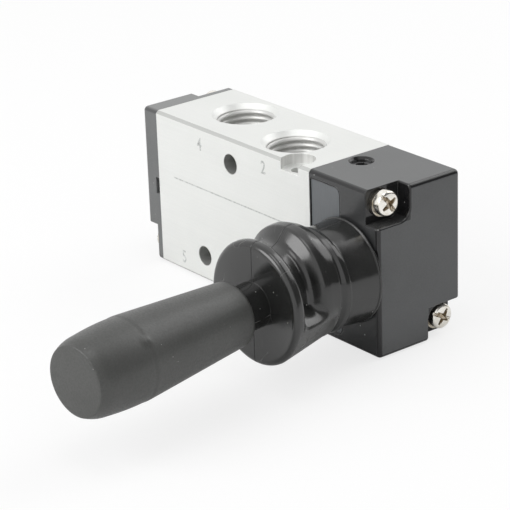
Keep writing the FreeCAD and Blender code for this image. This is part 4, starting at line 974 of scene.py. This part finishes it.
def inkRule():
    # a thin slab: the rule's four corners just inside the front face, and again just proud of it
    p = printLines
    half = p["ruleWidth"] / 2
    sides = np.array([(p["ruleFrom"] - half, -half), (p["ruleTo"] + half, -half),
                      (p["ruleTo"] + half, half), (p["ruleFrom"] - half, half)])
    points = [(x * mm, frontY + depth * mm, (p["ruleZ"] + z) * mm)
              for depth in (p["sunk"], -p["proud"]) for x, z in sides]
    faces = [(0, 1, 2, 3), (7, 6, 5, 4)] + [(i, i + 4, (i + 1) % 4 + 4, (i + 1) % 4) for i in range(4)]
    mesh = bpy.data.meshes.new("rule")
    mesh.from_pydata(points, [], faces)
    closeSeams(mesh)
    return bpy.data.objects.new("rule", mesh)


def inkNumber(digit, x, z):
    # a plain port number, upright on the front face
    p = printLines
    curve = bpy.data.curves.new("number" + digit, "FONT")
    curve.body = digit
    curve.size = p["numberSize"] * mm
    curve.extrude = p["numberThick"] * mm
    curve.offset = p["numberBold"] * mm
    curve.align_x = "CENTER"
    text = addObject("number" + digit, curve)
    bpy.context.view_layer.update()
    mesh = bpy.data.meshes.new_from_object(text)
    bpy.data.objects.remove(text)
    upright = Matrix.Translation((x * mm, frontY, z * mm)) @ Matrix.Rotation(math.radians(90), 4, "X")
    mesh.transform(upright @ Matrix.Scale(p["numberWidth"], 4, (1, 0, 0)))
    return bpy.data.objects.new("number" + digit, mesh)


def makePrint():
    # a rule across the face and plain port numbers
    numbers = [inkNumber(digit, *place) for digit, place in printLines["numbers"].items()]
    piece = joinPieces("frontPrint", [inkRule()] + numbers)
    piece.data.materials.append(makeInk())
    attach(piece, "valve")


makePrint()
print("front print made")


studio = {
    "cameraPlace": (0.35825, -0.28486, 0.19168),
    "cameraTurn": (67.9035, 1.9078, 51.26),
    "cameraLens": 161.65,
    "floorColour": (0.88, 0.88, 0.88), "floorReach": 2.5, "floorAt": -0.0002,
    "floorWhite": 0.75,
    "worldStrength": 0.6,
    "dimToward": (0.66, 0.6, 0.45), "dimFrom": 0.62, "dimFull": 0.86, "dimShare": 0.85,
    "lampsAimAt": (0.01, -0.02, 0.02),
    "lamps": {
        "softTop": {"place": (0.1, -0.1, 0.85), "size": 0.4, "power": 0.8},
        "softLeft": {"place": (-0.15, -0.7, 0.5), "size": 0.6, "power": 3.8},
        "softRight": {"place": (0.12, 0.7, 0.62), "size": 0.72, "power": 2.6},
    },
}


def makeFloor():
    # pale paper; the camera sees it partly as plain white, so that the shadow on it stays pale
    reach, low = studio["floorReach"], studio["floorAt"]
    mesh = bpy.data.meshes.new("floor")
    corners = [(x * reach, y * reach, low) for x, y in ((-1, -1), (1, -1), (1, 1), (-1, 1))]
    mesh.from_pydata(corners, [], [(0, 1, 2, 3)])
    floor = addObject("floor", mesh)
    s = newMaterial("floorPaper", studio["floorColour"])
    mesh.materials.append(s.finish((*studio["floorColour"], 1), 0.9, specular=0.1))
    paper = s.tree.nodes["Principled BSDF"].outputs[0]
    white = s.node("ShaderNodeEmission", Color=(1, 1, 1, 1), Strength=1.0).outputs[0]
    share = s.times(s.node("ShaderNodeLightPath").outputs["Is Camera Ray"], studio["floorWhite"])
    blend = s.node("ShaderNodeMixShader", None, share, paper, white).outputs[0]
    s.feed(s.tree.nodes["Material Output"].inputs["Surface"], blend)


def makeWorld():
    # a soft surround, white for what the camera and glossy rays see; the room's side without a lamp
    # is darker: within a cone round one direction the strength falls smoothly for glossy rays
    world = bpy.data.worlds.new("studioWorld")
    scene.world = world
    world.use_nodes = True
    s = Shading(world.node_tree)
    path = s.node("ShaderNodeLightPath").outputs
    glossy = path["Is Glossy Ray"]
    seen = s.most(path["Is Camera Ray"], glossy, path["Is Transmission Ray"])
    way = s.node("ShaderNodeTexCoord").outputs["Generated"]
    toward = s.vectorMath("DOT_PRODUCT", way, studio["dimToward"])["Value"]
    dim = s.remap(toward, studio["dimFrom"], studio["dimFull"], 0.0, studio["dimShare"], smooth=True)
    kept = s.math("SUBTRACT", 1.0, s.times(dim, glossy))
    background = s.tree.nodes["Background"].inputs
    background["Color"].default_value = (1, 1, 1, 1)
    s.feed(background["Strength"], s.times(s.spread(seen, studio["worldStrength"], 1.0), kept))


def makeLamps():
    for name, lamp in studio["lamps"].items():
        light = bpy.data.lights.new(name, "AREA")
        light.shape = "DISK"
        light.size = lamp["size"]
        light.energy = lamp["power"]
        body = addObject(name, light)
        body.location = lamp["place"]
        aim = Vector(studio["lampsAimAt"]) - body.location
        body.rotation_euler = aim.to_track_quat("-Z", "Y").to_euler()


def makeCamera():
    camera = bpy.data.cameras.new("camera")
    camera.lens = studio["cameraLens"]
    camera.sensor_width = 36
    camera.clip_start = 0.01
    body = addObject("camera", camera)
    body.location = studio["cameraPlace"]
    body.rotation_euler = Euler([math.radians(turn) for turn in studio["cameraTurn"]], "XYZ")
    scene.camera = body


makeFloor()
makeWorld()
makeLamps()
makeCamera()
scene.view_settings.view_transform = "Standard"
print("studio made")
